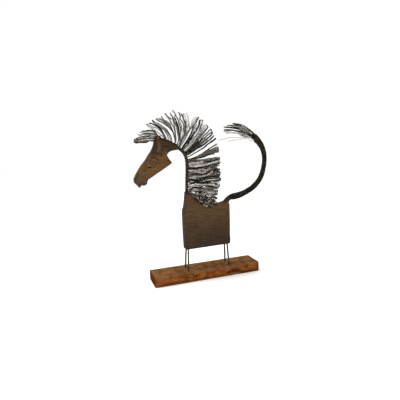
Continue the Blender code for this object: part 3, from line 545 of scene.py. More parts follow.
ROOT_DEPTH = 2.4
MANE_DEPTH = 8
FORELOCK_DEPTH = 5
TUFT_ROOT_DEPTH = 4
TUFT_DEPTH = 5

# A tuft strand with its tip below this height hangs loose, as one thinner and paler wire

TUFT_LOOSE_Z = 262
LOOSE_THICKNESS = 0.7
LOOSE_SPREAD = 0.4

# The tangle on the withers: its wires, those along the edge, the near side's share, and the tones

TANGLE_WIRES = 190
EDGE_WIRES = 10
NEAR_SHARE = 0.7
TANGLE_TONES = (0, 0, 0, 1, 1, 2)

# In figure units: how far the tangle's wires start off the edge, their reach, and where they end

TANGLE_LIFT = (-1.5, 14.0)
TANGLE_REACH = (8, 20)
TANGLE_END_X = 27

# A wire that starts further off the edge than this may lie anywhere across the board's thickness

OFF_BOARD_LIFT = 3.5

# Cut ends below this height lie on the body's face, the others in the mane

FACE_TOP_Z = 125

# The cut ends' thickness in millimetres

CUT_END_WIDTH = 1.8

# Marks on the plank's front: (tone, x, z, half length, half height, strength, depth), in millimetres

PLANK_MARKS = [
    ("bare_and_highlight", -92, 13, 26, 6, 0.7, 0), ("bare_and_highlight", -47, 11, 7, 8, 0.75, 0), ("bare_and_highlight", -16, 12, 10, 7, 0.75, 0),
    ("bare_and_highlight", 21, 12, 10, 4, 0.65, 0), ("bare_and_highlight", 88, 12, 9, 3, 0.65, 0), ("bare_and_highlight", 112, 15, 13, 4, 0.75, 0),
    ("bare_and_highlight", -70, 10, 12, 4, 0.6, 0), ("bare_and_highlight", 2, 9, 9, 4, 0.6, 0),
    ("red", 46, 15, 9, 4, 0.5, 0), ("red", 68, 3, 12, 3, 0.8, 0.3), ("red", -118, 14, 10, 8, 0.4, 0),
    ("grime_and_shade", -48, 12, 2, 2, 0.9, 0.6), ("grime_and_shade", -33, 14, 2.5, 2.5, 0.9, 0.8),
    ("grime_and_shade", -33, 4, 2.5, 3, 0.8, 0.5), ("grime_and_shade", 64, 9, 21, 5, 0.9, 1.8),
    ("grime_and_shade", 104, 3, 28, 4, 0.7, 0.3), ("grime_and_shade", -80, 5, 30, 3, 0.4, 0.2)]

# The camera, solved from the plank's corners and the figure's uprights in the photograph

CAMERA_PLACE = Vector((-0.284, -0.769, 0.333))
CAMERA_YAW = 19.61
CAMERA_PITCH = 10.18
CAMERA_ROLL = -1.70
CAMERA_LENS = 32.17
SENSOR_WIDTH = 36.0

# The same lens in the photograph's pixels, as it was solved, and the photograph's middle

CAMERA_FOCUS = 357.4
PHOTO_MIDDLE = 200

# The lamps: (place, aim, width) in metres

KEY_LAMP = ((-0.8, 0.35, 1.2), (0.0, 0.0, 0.1), 0.8)
FILL_LAMP = ((0.75, -1.3, 0.8), (0.0, 0.0, 0.15), 0.9)


def linear(code):
    """An sRGB hex colour as linear RGB."""
    values = [int(code[i:i + 2], 16) / 255 for i in (1, 3, 5)]
    return [v / 12.92 if v <= 0.04045 else ((v + 0.055) / 1.055) ** 2.4 for v in values]


def tint(label, code, description):
    """A colour that the user may change."""
    return bpy.props.FloatVectorProperty(name=label, description=description, subtype="COLOR",
                                         size=3, min=0.0, max=1.0, default=linear(code))


def size(label, millimetres, description):
    """A length that the user may change."""
    return bpy.props.FloatProperty(name=label, description=description, default=millimetres * MM,
                                   min=0.0, precision=5, unit="LENGTH")


class HorseWood(bpy.types.PropertyGroup):
    """Sizes and colours of the plank, the body and the head."""

    body_top: tint("Body, upper", "#4a3723", "Stain on the upper half of the body")
    body_foot: tint("Body, lower", "#32261c", "Stain on the lower half of the body")
    body_red: tint("Body, red", "#4f3326", "Redder wood below the tail")
    head_face: tint("Head, face", "#583e21", "Waxed wood of the cheek and jaw")
    head_muzzle: tint("Head, muzzle", "#4b3928", "Duller wood of the muzzle")
    head_poll: tint("Head, poll", "#392a17", "Darker stain above the eye")
    head_red: tint("Head, red", "#462f23", "Redder wood of the brow and the cheek's point")
    head_pale: tint("Head, rubbed", "#685238", "Wax rubbed thin on the lids and the poll")
    plank_top: tint("Plank, top", "#6c4c31", "Rubbed top of the plank")
    plank_side: tint("Plank, sides", "#6a3a17", "Sawn sides of the plank")
    # Also the colour of the painted highlight along the plank's ridges.
    plank_pale: tint("Plank, bare", "#845026", "Bare wood on the plank's ridges")
    # Dark end grain, which also stands for painted shade on the plank's end.
    plank_end_and_shade: tint("Plank, ends", "#45220c", "End grain, dark with old varnish")
    plank_red: tint("Plank, red", "#85523e", "Pinkish wood in the plank's front")
    # This colour is painted as grime, and also as shade on the edges of the head, the body and the plank.
    grime_and_shade: tint("Grime and shade", "#1d150e", "Dirt and stain in cuts and hollows")
    body_edge: size("Body edge", 1.5, "Rounding of the body's edges")
    head_edge: size("Head edge", 2.4, "Rounding of the head's edges")
    plank_edge: size("Plank edge", 1.5, "Rounding of the plank's edges")
    fibre: size("Fibre", 1.7, "Width of the wood's fibres")


class HorseWire(bpy.types.PropertyGroup):
    """Sizes and colours of the wire."""

    mane_wire: size("Mane wire", 1.3, "Thickness of the mane's wires")
    tail_wire: size("Tail wire", 1.5, "Thickness of the tail's wires")
    neck_wire: size("Neck wire", 1.5, "Thickness of the neck's wires")
    tail_width: size("Tail", 13.0, "Thickness of the tail's bundle")
    neck_width: size("Neck", 8.0, "Thickness of the neck's bundle")
    leg_wire: size("Leg wire", 4.2, "Thickness of the legs' wire")
    mane_dark: tint("Mane, dark", "#241d18", "Oxide-black wires of the mane")
    mane_grey: tint("Mane, grey", "#766c61", "Grey wires of the mane")
    mane_pale: tint("Mane, pale", "#d0ccc7", "Bright wires of the mane")
    tail_black: tint("Tail", "#17120f", "Black oxide of the tail")
    tail_worn: tint("Tail, worn", "#3c352c", "Rubbed wire of the tail")
    neck_black: tint("Neck", "#1d1815", "Black oxide of the neck")
    neck_worn: tint("Neck, worn", "#4a4035", "Rubbed wire of the neck")
    cut_bright: tint("Cut ends", "#a79f94", "Bright cut ends of wire")
    cut_dull: tint("Cut ends, dull", "#8a8278", "Duller patches of the cut ends")
    leg_grey: tint("Legs", "#5c5145", "Grey steel of the legs")
    leg_dark: tint("Legs, feet", "#2a201a", "Stain at the feet of the legs")


class HorseStage(bpy.types.PropertyGroup):
    """The floor and the light."""

    floor: tint("Floor", "#fcfcfb", "Pale floor")
    sky: bpy.props.FloatProperty(name="Sky", description="Strength of the even light", default=1.02,
                                 min=0.0)
    key: bpy.props.FloatProperty(name="Key", description="Power of the main lamp", default=14.0,
                                 min=0.0, unit="POWER")
    fill: bpy.props.FloatProperty(name="Fill", description="Power of the front lamp", default=7.0,
                                  min=0.0, unit="POWER")


def fig(x, z, y=0.0):
    """A point of the figure: x and z in figure units, y in metres."""
    return Vector((x * UNIT, y, BELLY_Z + z * UNIT))


def camera_axes():
    """The camera's right, its up and the way that it looks."""
    yaw, pitch, roll = (math.radians(v) for v in (CAMERA_YAW, CAMERA_PITCH, CAMERA_ROLL))
    ahead = Vector((math.sin(yaw) * math.cos(pitch), math.cos(yaw) * math.cos(pitch), -math.sin(pitch)))
    right = Vector((math.cos(yaw), -math.sin(yaw), 0))
    up = right.cross(ahead)
    return right * math.cos(roll) + up * math.sin(roll), up * math.cos(roll) - right * math.sin(roll), ahead


def traced_in(view, spots):
    """A stroke in figure units, to a tenth, where the camera sees its spots on the plane Y = 0.

    The spots are in an enlarged view's own pixels. Without a view they are in figure units already.
    """
    if view is None:
        return spots
    left, top, scale = view
    right, up, ahead = camera_axes()
    belly = round(BELLY_Z / UNIT, 1)
    points = []
    for x, y in spots:
        across, down = left + x / scale - PHOTO_MIDDLE, top + y / scale - PHOTO_MIDDLE
        ray = ahead * CAMERA_FOCUS + right * across - up * down
        place = CAMERA_PLACE - ray * (CAMERA_PLACE.y / ray.y)
        points.append((round(place.x / UNIT, 1), round(place.z / UNIT - belly, 1)))
    return points


def seen_at(point, depth):
    """The point moved to another Y along the camera's line of sight, so that it stays put in the photo."""
    return CAMERA_PLACE + (point - CAMERA_PLACE) * (depth - CAMERA_PLACE.y) / (point.y - CAMERA_PLACE.y)


def smooth(points, steps=4):
    """A smooth run through given points, as a Catmull-Rom curve."""
    points = [Vector(point) for point in points]
    ends = [2 * points[0] - points[1], *points, 2 * points[-1] - points[-2]]
    run = []
    for before, start, end, after in zip(ends, ends[1:], ends[2:], ends[3:]):
        for step in range(steps):
            t = step / steps
            run.append(0.5 * (2 * start + (end - before) * t
                              + (2 * before - 5 * start + 4 * end - after) * t ** 2
                              + (3 * start - before - 3 * end + after) * t ** 3))
    run.append(points[-1])
    return run


def dress(name, mesh, materials, slot, *nodes):
    """The finished piece: its materials and the CAD nodes that it stands for. Its slot is not used."""
    mesh.transform(Matrix.Translation(STAND))
    while len(mesh.materials) < len(materials):
        mesh.materials.append(None)
    for index, material in enumerate(materials):
        mesh.materials[index] = material
    piece = bpy.data.objects.new(name, mesh)
    bpy.context.scene.collection.objects.link(piece)
    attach(piece, "root")
    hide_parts(*nodes)
    return piece


def evaluated_mesh(data, name, modifiers=()):
    """The mesh of a curve or mesh after its modifiers, each (kind, settings)."""
    carrier = bpy.data.objects.new(name, data)
    bpy.context.scene.collection.objects.link(carrier)
    for kind, settings in modifiers:
        modifier = carrier.modifiers.new(kind.lower(), kind)
        for setting, value in settings.items():
            setattr(modifier, setting, value)
    graph = bpy.context.evaluated_depsgraph_get()
    mesh = bpy.data.meshes.new_from_object(carrier.evaluated_get(graph))
    mesh.name = name
    bpy.data.objects.remove(carrier, do_unlink=True)
    return mesh


def wires_mesh(name, runs, resolution=1):
    """One mesh of round wires, each (its points, its thickness, the number of its material)."""
    curve = bpy.data.curves.new(name, "CURVE")
    curve.dimensions = "3D"
    curve.bevel_depth = 0.5
    curve.bevel_resolution = resolution
    curve.use_fill_caps = True
    for _ in TONES:
        curve.materials.append(None)
    for points, thickness, kind in runs:
        spline = curve.splines.new("POLY")
        spline.material_index = kind
        spline.points.add(len(points) - 1)
        for spot, point in zip(spline.points, points):
            spot.co = (*point, 1.0)
            spot.radius = thickness
        spline.use_smooth = True
    mesh = evaluated_mesh(curve, name)
    shell = bmesh.new()
    shell.from_mesh(mesh)
    bmesh.ops.remove_doubles(shell, verts=shell.verts, dist=1e-6)
    bmesh.ops.recalc_face_normals(shell, faces=shell.faces)
    shell.to_mesh(mesh)
    shell.free()
    return mesh


def blank(name, outline, thickness, edge, cell):
    """A board sawn to an outline in the XZ plane, with rounded edges, in cells fine enough to carve."""
    shell = bmesh.new()
    corners = [shell.verts.new((point.x, -thickness / 2, point.z)) for point in outline]
    face = shell.faces.new(corners)
    drawn = bmesh.ops.extrude_face_region(shell, geom=[face])["geom"]
    bmesh.ops.translate(shell, vec=(0, thickness, 0),
                        verts=[part for part in drawn if isinstance(part, bmesh.types.BMVert)])
    bmesh.ops.recalc_face_normals(shell, faces=shell.faces)
    return fine_cells(name, shell, edge, cell)


def fine_cells(name, shell, edge, cell):
    """The shell with its edges rounded, remade in even cells."""
    mesh = bpy.data.meshes.new(name)
    shell.to_mesh(mesh)
    shell.free()
    rounded = ("BEVEL", {"width": edge, "segments": 3, "limit_method": "ANGLE",
                         "angle_limit": math.radians(40)})
    cells = ("REMESH", {"mode": "VOXEL", "voxel_size": cell, "use_smooth_shade": True})
    return evaluated_mesh(mesh, name, [rounded, cells])


def places_of(mesh, field="co"):
    """The places of a mesh's vertices, or another field of theirs, as rows of three."""
    values = np.empty(len(mesh.vertices) * 3)
    mesh.vertices.foreach_get(field, values)
    return values.reshape(-1, 3)


def set_places(mesh, places):
    """Moves a mesh's vertices to their new places."""
    mesh.vertices.foreach_set("co", np.ascontiguousarray(places).ravel())
    mesh.update()


def paint(mesh, name, values):
    """A number for each vertex that the material reads."""
    attribute = mesh.attributes.new(name, "FLOAT", "POINT")
    attribute.data.foreach_set("value", np.clip(values, 0.0, 1.0))


def rough(places, scale, seed=0.0, squeeze=(1, 1, 1)):
    """Smooth noise from -1 to 1 at each place, with lumps of about the scale."""
    spots = places * np.array(squeeze) / scale + seed
    return np.array([noise.noise(Vector(spot)) for spot in spots])


def ease(values, low, high):
    """0 below low, 1 above high, and smooth between."""
    t = np.clip((values - low) / (high - low), 0.0, 1.0)
    return t * t * (3 - 2 * t)


def distance_to(places, run):
    """How far each place is from a run of points, seen from the side, in figure units."""
    spots = places[:, [0, 2]]
    nearest = np.full(len(spots), np.inf)
    for start, end in zip(run, run[1:]):
        start, end = np.array(start), np.array(end)
        way = end - start
        share = np.clip(((spots - start) @ way) / (way @ way), 0.0, 1.0)
        nearest = np.minimum(nearest, np.linalg.norm(spots - start - share[:, None] * way, axis=1))
    return nearest


def in_figure(places):
    """Places in figure units, with z from the belly."""
    return (places - np.array([0.0, 0.0, BELLY_Z])) / UNIT


def add_node(tree, kind, options=None, values=None, links=None, stops=None):
    """A node with its options, socket values and links; stops are a ramp's (place, colour) pairs."""
    node = tree.nodes.new(kind)
    for option, value in (options or {}).items():
        setattr(node, option, value)
    for socket, value in (values or {}).items():
        node.inputs[socket].default_value = value
    for socket, output in (links or {}).items():
        tree.links.new(output, node.inputs[socket])
    if stops:
        ramp = node.color_ramp
        while len(ramp.elements) < len(stops):
            ramp.elements.new(0.5)
        for element, (place, colour) in zip(ramp.elements, stops):
            element.position = place
            element.color = (*colour, 1.0)
    return node


def start_material(name, roughness, metallic=0.0):
    """A material and its tree and Principled shader."""
    material = bpy.data.materials.new(name)
    material.use_nodes = True
    tree = material.node_tree
    shader = tree.nodes["Principled BSDF"]
    shader.inputs["Roughness"].default_value = roughness
    shader.inputs["Metallic"].default_value = metallic
    return material, tree, shader


def mixed(tree, factor, first, second, blend="MIX"):
    """The outcome of mixing two colours; each is a colour or another node's output."""
    node = add_node(tree, "ShaderNodeMix", {"data_type": "RGBA", "blend_type": blend})
    for socket, value in ((0, factor), (6, first), (7, second)):
        if isinstance(value, bpy.types.NodeSocket):
            tree.links.new(value, node.inputs[socket])
        elif socket == 0:
            node.inputs[socket].default_value = value
        else:
            node.inputs[socket].default_value = (*value, 1.0)
    return node.outputs[2]


def grain(tree, fibre, along, blotch):
    """Fibres along X and broad blotches, each from 0 to 1; the sizes are in metres."""
    coordinates = add_node(tree, "ShaderNodeTexCoord").outputs["Object"]
    spread = add_node(tree, "ShaderNodeMapping", None,
                      {"Scale": (1 / along, 1 / fibre, 1 / fibre)}, {"Vector": coordinates})
    fibres = add_node(tree, "ShaderNodeTexNoise", None, {"Scale": 1.0, "Detail": 4.0, "Roughness": 0.6},
                      {"Vector": spread.outputs[0]})
    blotches = add_node(tree, "ShaderNodeTexNoise", None, {"Scale": 1 / blotch, "Detail": 3.0},
                        {"Vector": coordinates})
    return coordinates, fibres.outputs["Fac"], blotches.outputs["Fac"]


def bump(tree, shader, height, distance, strength):
    """Presses a height from 0 to 1 into the surface, as deep as the distance."""
    node = add_node(tree, "ShaderNodeBump", None, {"Strength": strength, "Distance": distance},
                    {"Height": height})
    tree.links.new(node.outputs[0], shader.inputs["Normal"])


def painted(tree, name):
    """The number that paint left at each vertex under this name."""
    return add_node(tree, "ShaderNodeAttribute", {"attribute_name": name}).outputs["Fac"]


def weathered_and_shaded(tree, shader, colour, fibres, stops, grime_and_shade, strength):
    """Shades a colour by its fibres, lays the grime and the painted shade over it and lets the fibres stand
    out.
    """
    shade = add_node(tree, "ShaderNodeValToRGB", links={"Fac": fibres}, stops=stops)
    colour = mixed(tree, 1.0, colour, shade.outputs[0], "MULTIPLY")
    colour = mixed(tree, painted(tree, "grime_and_shade"), colour, grime_and_shade)
    tree.links.new(colour, shader.inputs["Base Color"])
    bump(tree, shader, fibres, 0.25 * MM, strength)


def stained_board(wood):
    """Softwood board under a thin dark stain: even, dull, with fibres that only just show."""
    material, tree, shader = start_material("stained_board", 0.62)
    shader.inputs["Specular IOR Level"].default_value = 0.05
    coordinates, fibres, blotches = grain(tree, wood.fibre, 22 * MM, 26 * MM)
    axes = add_node(tree, "ShaderNodeSeparateXYZ", links={"Vector": coordinates})
    level = add_node(tree, "ShaderNodeMapRange",
                     values={"From Min": BELLY_Z + 12 * UNIT, "From Max": BELLY_Z + 88 * UNIT},
                     links={"Value": axes.outputs["Z"]})
    wander = add_node(tree, "ShaderNodeMath", {"operation": "MULTIPLY_ADD"}, {1: 0.9, 2: -0.45},
                      {0: blotches})
    height = add_node(tree, "ShaderNodeMath", {"operation": "ADD", "use_clamp": True},
                      links={0: level.outputs[0], 1: wander.outputs[0]})
    colour = mixed(tree, height.outputs[0], wood.body_foot, wood.body_top)
    colour = mixed(tree, painted(tree, "red"), colour, wood.body_red)
    stops = [(0.32, (0.60, 0.60, 0.60)), (0.62, (1.22, 1.22, 1.22))]
    weathered_and_shaded(tree, shader, colour, fibres, stops, wood.grime_and_shade, 0.5)
    return material


def waxed_carving(wood):
    """Carved softwood, stained and waxed: warm on the cheek, dull on the muzzle, dark on the poll."""
    material, tree, shader = start_material("waxed_carving", 0.55)
    shader.inputs["Specular IOR Level"].default_value = 0.07
    coordinates, fibres, blotches = grain(tree, wood.fibre, 16 * MM, 13 * MM)
    axes = add_node(tree, "ShaderNodeSeparateXYZ", links={"Vector": coordinates})
    wander = add_node(tree, "ShaderNodeMath", {"operation": "MULTIPLY_ADD"},
                      {1: 26 * UNIT, 2: -13 * UNIT}, {0: blotches})
    height = add_node(tree, "ShaderNodeMath", {"operation": "ADD"},
                      links={0: axes.outputs["Z"], 1: wander.outputs[0]})
    upper = add_node(tree, "ShaderNodeMapRange", {"interpolation_type": "SMOOTHSTEP"},
                     {"From Min": BELLY_Z + 206 * UNIT, "From Max": BELLY_Z + 232 * UNIT},
                     {"Value": height.outputs[0]})
    lower = add_node(tree, "ShaderNodeMapRange", {"interpolation_type": "SMOOTHSTEP"},
                     {"From Min": BELLY_Z + 186 * UNIT, "From Max": BELLY_Z + 166 * UNIT},
                     {"Value": height.outputs[0]})
    colour = mixed(tree, upper.outputs[0], wood.head_face, wood.head_poll)
    colour = mixed(tree, lower.outputs[0], colour, wood.head_muzzle)
    colour = mixed(tree, painted(tree, "red"), colour, wood.head_red)
    colour = mixed(tree, painted(tree, "rubbed"), colour, wood.head_pale)
    stops = [(0.32, (0.64, 0.64, 0.64)), (0.62, (1.2, 1.2, 1.2))]
    weathered_and_shaded(tree, shader, colour, fibres, stops, wood.grime_and_shade, 0.4)
    return material


def reclaimed_pine(wood):
    """Old pine, orange-brown and streaked along its length, with bare patches where the varnish is worn,
    painted highlight on its ridges and painted shade on its end.
    """
    material, tree, shader = start_material("reclaimed_pine", 0.58)
    shader.inputs["Specular IOR Level"].default_value = 0.0
    coordinates, fibres, blotches = grain(tree, 1.3 * wood.fibre, 30 * MM, 17 * MM)
    axes = add_node(tree, "ShaderNodeSeparateXYZ", links={"Vector": coordinates})
    top = add_node(tree, "ShaderNodeMapRange",
                   values={"From Min": PLANK_HIGH.z - 7.0 * MM, "From Max": PLANK_HIGH.z - 2.5 * MM},
                   links={"Value": axes.outputs["Z"]})
    colour = mixed(tree, top.outputs[0], wood.plank_side, wood.plank_top)
    patches = add_node(tree, "ShaderNodeValToRGB", links={"Fac": blotches},
                       stops=[(0.34, (0.62, 0.56, 0.50)), (0.56, (1.08, 1.05, 1.0))])
    colour = mixed(tree, 1.0, colour, patches.outputs[0], "MULTIPLY")
    shade = add_node(tree, "ShaderNodeValToRGB", links={"Fac": fibres},
                     stops=[(0.30, (0.66, 0.62, 0.58)), (0.62, (1.14, 1.14, 1.14))])
    colour = mixed(tree, 1.0, colour, shade.outputs[0], "MULTIPLY")
    colour = mixed(tree, painted(tree, "red"), colour, wood.plank_red)
    # Bare wood, and the painted highlight on the ridges.
    colour = mixed(tree, painted(tree, "bare_and_highlight"), colour, wood.plank_pale)
    # The end: dark end grain and painted shade.
    colour = mixed(tree, painted(tree, "end"), colour, wood.plank_end_and_shade)
    # Grime, and painted shade along the edges.
    colour = mixed(tree, painted(tree, "grime_and_shade"), colour, wood.grime_and_shade)
    tree.links.new(colour, shader.inputs["Base Color"])
    bump(tree, shader, fibres, 0.4 * MM, 0.7)
    return material


def wire_steel(name, plain, dark, roughness, patch, metal=0.85):
    """Drawn steel wire: grey metal under patches of darker oxide, which is duller than the metal."""
    material, tree, shader = start_material(name, roughness, metal)
    shader.inputs["Specular IOR Level"].default_value = 0.5 * metal
    coordinates = add_node(tree, "ShaderNodeTexCoord").outputs["Object"]
    oxide = add_node(tree, "ShaderNodeTexNoise", None, {"Scale": 1 / patch, "Detail": 2.0},
                     {"Vector": coordinates})
    spread = add_node(tree, "ShaderNodeValToRGB", links={"Fac": oxide.outputs["Fac"]},
                      stops=[(0.36, dark), (0.64, plain)])
    colour = mixed(tree, painted(tree, "oxide"), spread.outputs[0], dark)
    tree.links.new(colour, shader.inputs["Base Color"])
    return material


def crest_line(neck_width):
    """The line that the mane stands on: the head's crest, the neck's outer side and the withers."""
    line = [fig(x, z) for x, z in reversed(CREST[:-1])]
    run = list(reversed(smooth([fig(x, z) for x, z in NECK_UP], 3)))
    for index in range(1, len(run) - 1):
        way = (run[index + 1] - run[index - 1]).normalized()
        line.append(run[index] + Vector((-way.z, 0, way.x)) * neck_width / 2)
    return line + [fig(x, z) for x, z in WITHERS]


def carve_head(mesh):
    """Thins the nape and the muzzle, cuts the eye, the lids and the slots, paints grime in them, and paints
    shade on the head's edge faces.
    """
    places = places_of(mesh)
    facing = np.abs(places_of(mesh, "normal")[:, 1])
    spots = in_figure(places)
    nape = ease(spots[:, 0], *NAPE_X) * ease(spots[:, 2], *NAPE_Z)
    muzzle = ease(spots[:, 0] * MUZZLE_WAY[0] + spots[:, 2] * MUZZLE_WAY[1], *MUZZLE_REACH)
    places[:, 1] *= (1 - NAPE_THINNING * nape) * (1 - MUZZLE_THINNING * muzzle)
    side = np.sign(places[:, 1])
    flat = ease(facing, 0.55, 0.95)
    depth = np.zeros(len(places))
    grime_and_shade = np.zeros(len(places))
    red, rubbed = np.zeros(len(places)), np.zeros(len(places))
    for run, width, cut, dirt in HEAD_CUTS:
        groove = np.exp(-(distance_to(spots, run) / width) ** 2)
        depth += cut * MM * groove
        grime_and_shade = np.maximum(grime_and_shade, dirt * groove)
    for run, width, amount in HEAD_RED:
        red = np.maximum(red, amount * np.exp(-(distance_to(spots, run) / width) ** 2))
    for run, width, amount in HEAD_RUBBED:
        rubbed = np.maximum(rubbed, amount * np.exp(-(distance_to(spots, run) / width) ** 2))
    reach = np.linalg.norm(spots[:, [0, 2]] - np.array(EYE), axis=1)
    depth -= 1.2 * MM * np.sqrt(np.clip(1 - (reach / EYE_RADIUS) ** 2, 0, None))
    depth += 0.5 * MM * np.exp(-((reach - 10.0) / 3.5) ** 2)
    depth += 0.22 * MM * rough(places, 7 * MM, 3.1) + 0.35 * MM * rough(places, 19 * MM, 8.7)
    places[:, 1] -= side * flat * depth
    set_places(mesh, places)
    # Painted shade: the edge faces are darkened, more so towards the poll.
    rim_shade = (1 - flat) * (0.55 + 0.3 * ease(spots[:, 2], 190, 240))
    paint(mesh, "grime_and_shade", np.maximum(grime_and_shade * flat, rim_shade))
    paint(mesh, "red", red * flat)
    paint(mesh, "rubbed", rubbed * flat)


def carve_body(mesh):
    """Thins the stub and the horn, roughens the faces, and paints the knots, the redder wood, the grime, and
    painted shade on the front edges.
    """
    places = places_of(mesh)
    facing = np.abs(places_of(mesh, "normal")[:, 1])
    spots = in_figure(places)
    stub = ease(spots[:, 2], *STUB_Z) * (spots[:, 0] < 20)
    horn = ease(spots[:, 0], *HORN_X) * ease(spots[:, 2], *HORN_Z)
    places[:, 1] *= (1 - STUB_THINNING * stub) * (1 - HORN_THINNING * horn)
    side = np.sign(places[:, 1])
    flat = ease(facing, 0.55, 0.95)
    depth = 0.30 * MM * rough(places, 24 * MM, 5.2) + 0.10 * MM * rough(places, 3 * MM, 1.4, (0.2, 1, 1))
    grime_and_shade = np.zeros(len(places))
    for spot, width, cut, dirt in BODY_KNOTS:
        reach = np.linalg.norm(spots[:, [0, 2]] - np.array(spot), axis=1)
        mark = np.exp(-(reach / width) ** 2)
        depth += cut * MM * mark
        grime_and_shade = np.maximum(grime_and_shade, dirt * mark)
    places[:, 1] -= side * flat * depth
    set_places(mesh, places)
    edge = 1 - flat
    # The front part's edge faces are darker: end grain that takes the stain darker, and painted shade.
    grime_and_shade = np.maximum(grime_and_shade, 0.65 * edge * (spots[:, 0] < -30))
    grime_and_shade = np.maximum(grime_and_shade, 0.9 * ease(spots[:, 2], 125, 129.5) * (spots[:, 0] < -30))
    grime_and_shade = np.maximum(grime_and_shade, 0.75 * ease(spots[:, 2], 99, 106) * ease(spots[:, 0], 46, 56))
    grime_and_shade = np.maximum(grime_and_shade, 0.8 * edge * (spots[:, 0] > 44) * ease(spots[:, 2], 98, 102))
    paint(mesh, "grime_and_shade", grime_and_shade)
    red = ease(spots[:, 0], 18, 52) * ease(spots[:, 2], 78, 99)
    paint(mesh, "red", red * (0.75 + 0.5 * rough(places, 12 * MM, 2.2)))


def wear_plank(mesh):
    """Rounds the corners unevenly, and tears the hollows in the front that the photograph shows."""
    places = places_of(mesh)
    normals = places_of(mesh, "normal")
    front = ease(-normals[:, 1], 0.5, 0.9)
    sides = ease(np.abs(normals[:, 1]) + np.abs(normals[:, 0]), 0.5, 0.9)
    x, z = places[:, 0] / MM, places[:, 2] / MM
    depth = 0.25 * MM * rough(places, 13 * MM, 4.4)
    depth += 0.18 * MM * sides * rough(places, 2.5 * MM, 9.3, (0.25, 1, 1))
    grime_and_shade = np.zeros(len(places))
    torn = rough(places, 3.2 * MM, 6.1, (0.45, 1, 1))
    streaks = rough(places, 1.8 * MM, 2.9, (0.22, 1, 1))
    tones = {"grime_and_shade": grime_and_shade, "red": np.zeros(len(places)), "bare_and_highlight": np.zeros(len(places))}
    for tone, x_mid, z_mid, length, height, amount, cut in PLANK_MARKS:
        inside = front * ease(1 - ((x - x_mid) / length) ** 2 - ((z - z_mid) / height) ** 2
                              + 0.9 * torn + 0.6 * streaks, 0.0, 0.8)
        depth += cut * MM * inside * (1 + 0.5 * torn)
        tones[tone] = np.maximum(tones[tone], amount * inside * (0.8 + 0.5 * torn))
    places -= normals * depth[:, None]
    set_places(mesh, places)
    # Painted highlight: pale streaks along the ridges of the sides, in the bare wood's colour.
    ridge_highlight = ease(rough(places, 8 * MM, 7.7, (0.4, 1, 1.3)), 0.15, 0.5) * sides
    end = ease(-normals[:, 0], 0.5, 0.9)
    # Painted shade along the front's bottom edge, where it meets the floor. The top's back edge and the far
    # part of the end are darker as well.
    low_edge_shade = ease(-z, -2.4, -0.6) * ease(-normals[:, 1], 0.1, 0.6)
    back_edge = ease(places[:, 1], PLANK_HIGH.y - 2.0 * MM, PLANK_HIGH.y - 0.8 * MM)
    far_end = end * ease(places[:, 1], PLANK_HIGH.y - 22 * MM, PLANK_HIGH.y)
    for values in (0.75 * low_edge_shade, 0.6 * back_edge, 0.15 * far_end):
        tones["grime_and_shade"] = np.maximum(tones["grime_and_shade"], values)
    tones["bare_and_highlight"] = np.maximum(tones["bare_and_highlight"], 0.35 * ridge_highlight * (1 - end))
    # The end face is darker: end grain under old varnish, and painted shade.
    tones["end"] = 0.9 * end
    for tone, values in tones.items():
        paint(mesh, tone, values)


def bundle_runs(points, widths, wire, turns, lay, chance):
    """Wires round a bundle in the XZ plane, each (its start in turns, how deep it lies in wires)."""
    runs = []
    for start, sink in turns:
        travelled = 0.0
        run = []
        for index, point in enumerate(points):
            if index:
                travelled += (point - points[index - 1]).length
            way = (points[min(index + 1, len(points) - 1)] - points[max(index - 1, 0)]).normalized()
            out = Vector((-way.z, 0, way.x))
            turn = 2 * math.pi * (start + travelled / lay)
            reach = widths[index] / 2 - (0.5 + sink) * wire
            run.append(point + (out * math.cos(turn) + Vector((0, 1, 0)) * math.sin(turn)) * reach)
        runs.append((run, wire * chance.uniform(0.85, 1.1), 0))
    return runs


def bent_wire(root, tip, bow, chance, wobble, steps=9):
    """A loose wire from root to tip: bowed, and waved a little at random."""
    chord = tip - root
    side = Vector((chord.z, 0, -chord.x)).normalized()
    phase, waves = chance.uniform(0, 6.28), chance.uniform(0.8, 1.8)
    lean, sway = chance.uniform(-1, 1) * wobble, chance.uniform(-1, 1) * wobble
    points = []
    for step in range(steps + 1):
        t = step / steps
        off = bow * 4 * t * (1 - t) + lean * t * math.sin(phase + 6.28 * waves * t)
        points.append(root + chord * t + side * off + Vector((0, sway * t * math.cos(phase + 5 * t), 0)))
    return points


def hairpin(out_run, back_run):
    """Two runs joined at their tips by a round bend."""
    first, second = out_run[-1], back_run[-1]
    middle, half = (first + second) / 2, (first - second) / 2
    ahead = (out_run[-1] - out_run[-2]).normalized() * half.length
    bend = [middle + half * math.cos(math.radians(turn)) + ahead * math.sin(math.radians(turn))
            for turn in (36, 72, 108, 144)]
    return out_run + bend + list(reversed(back_run))


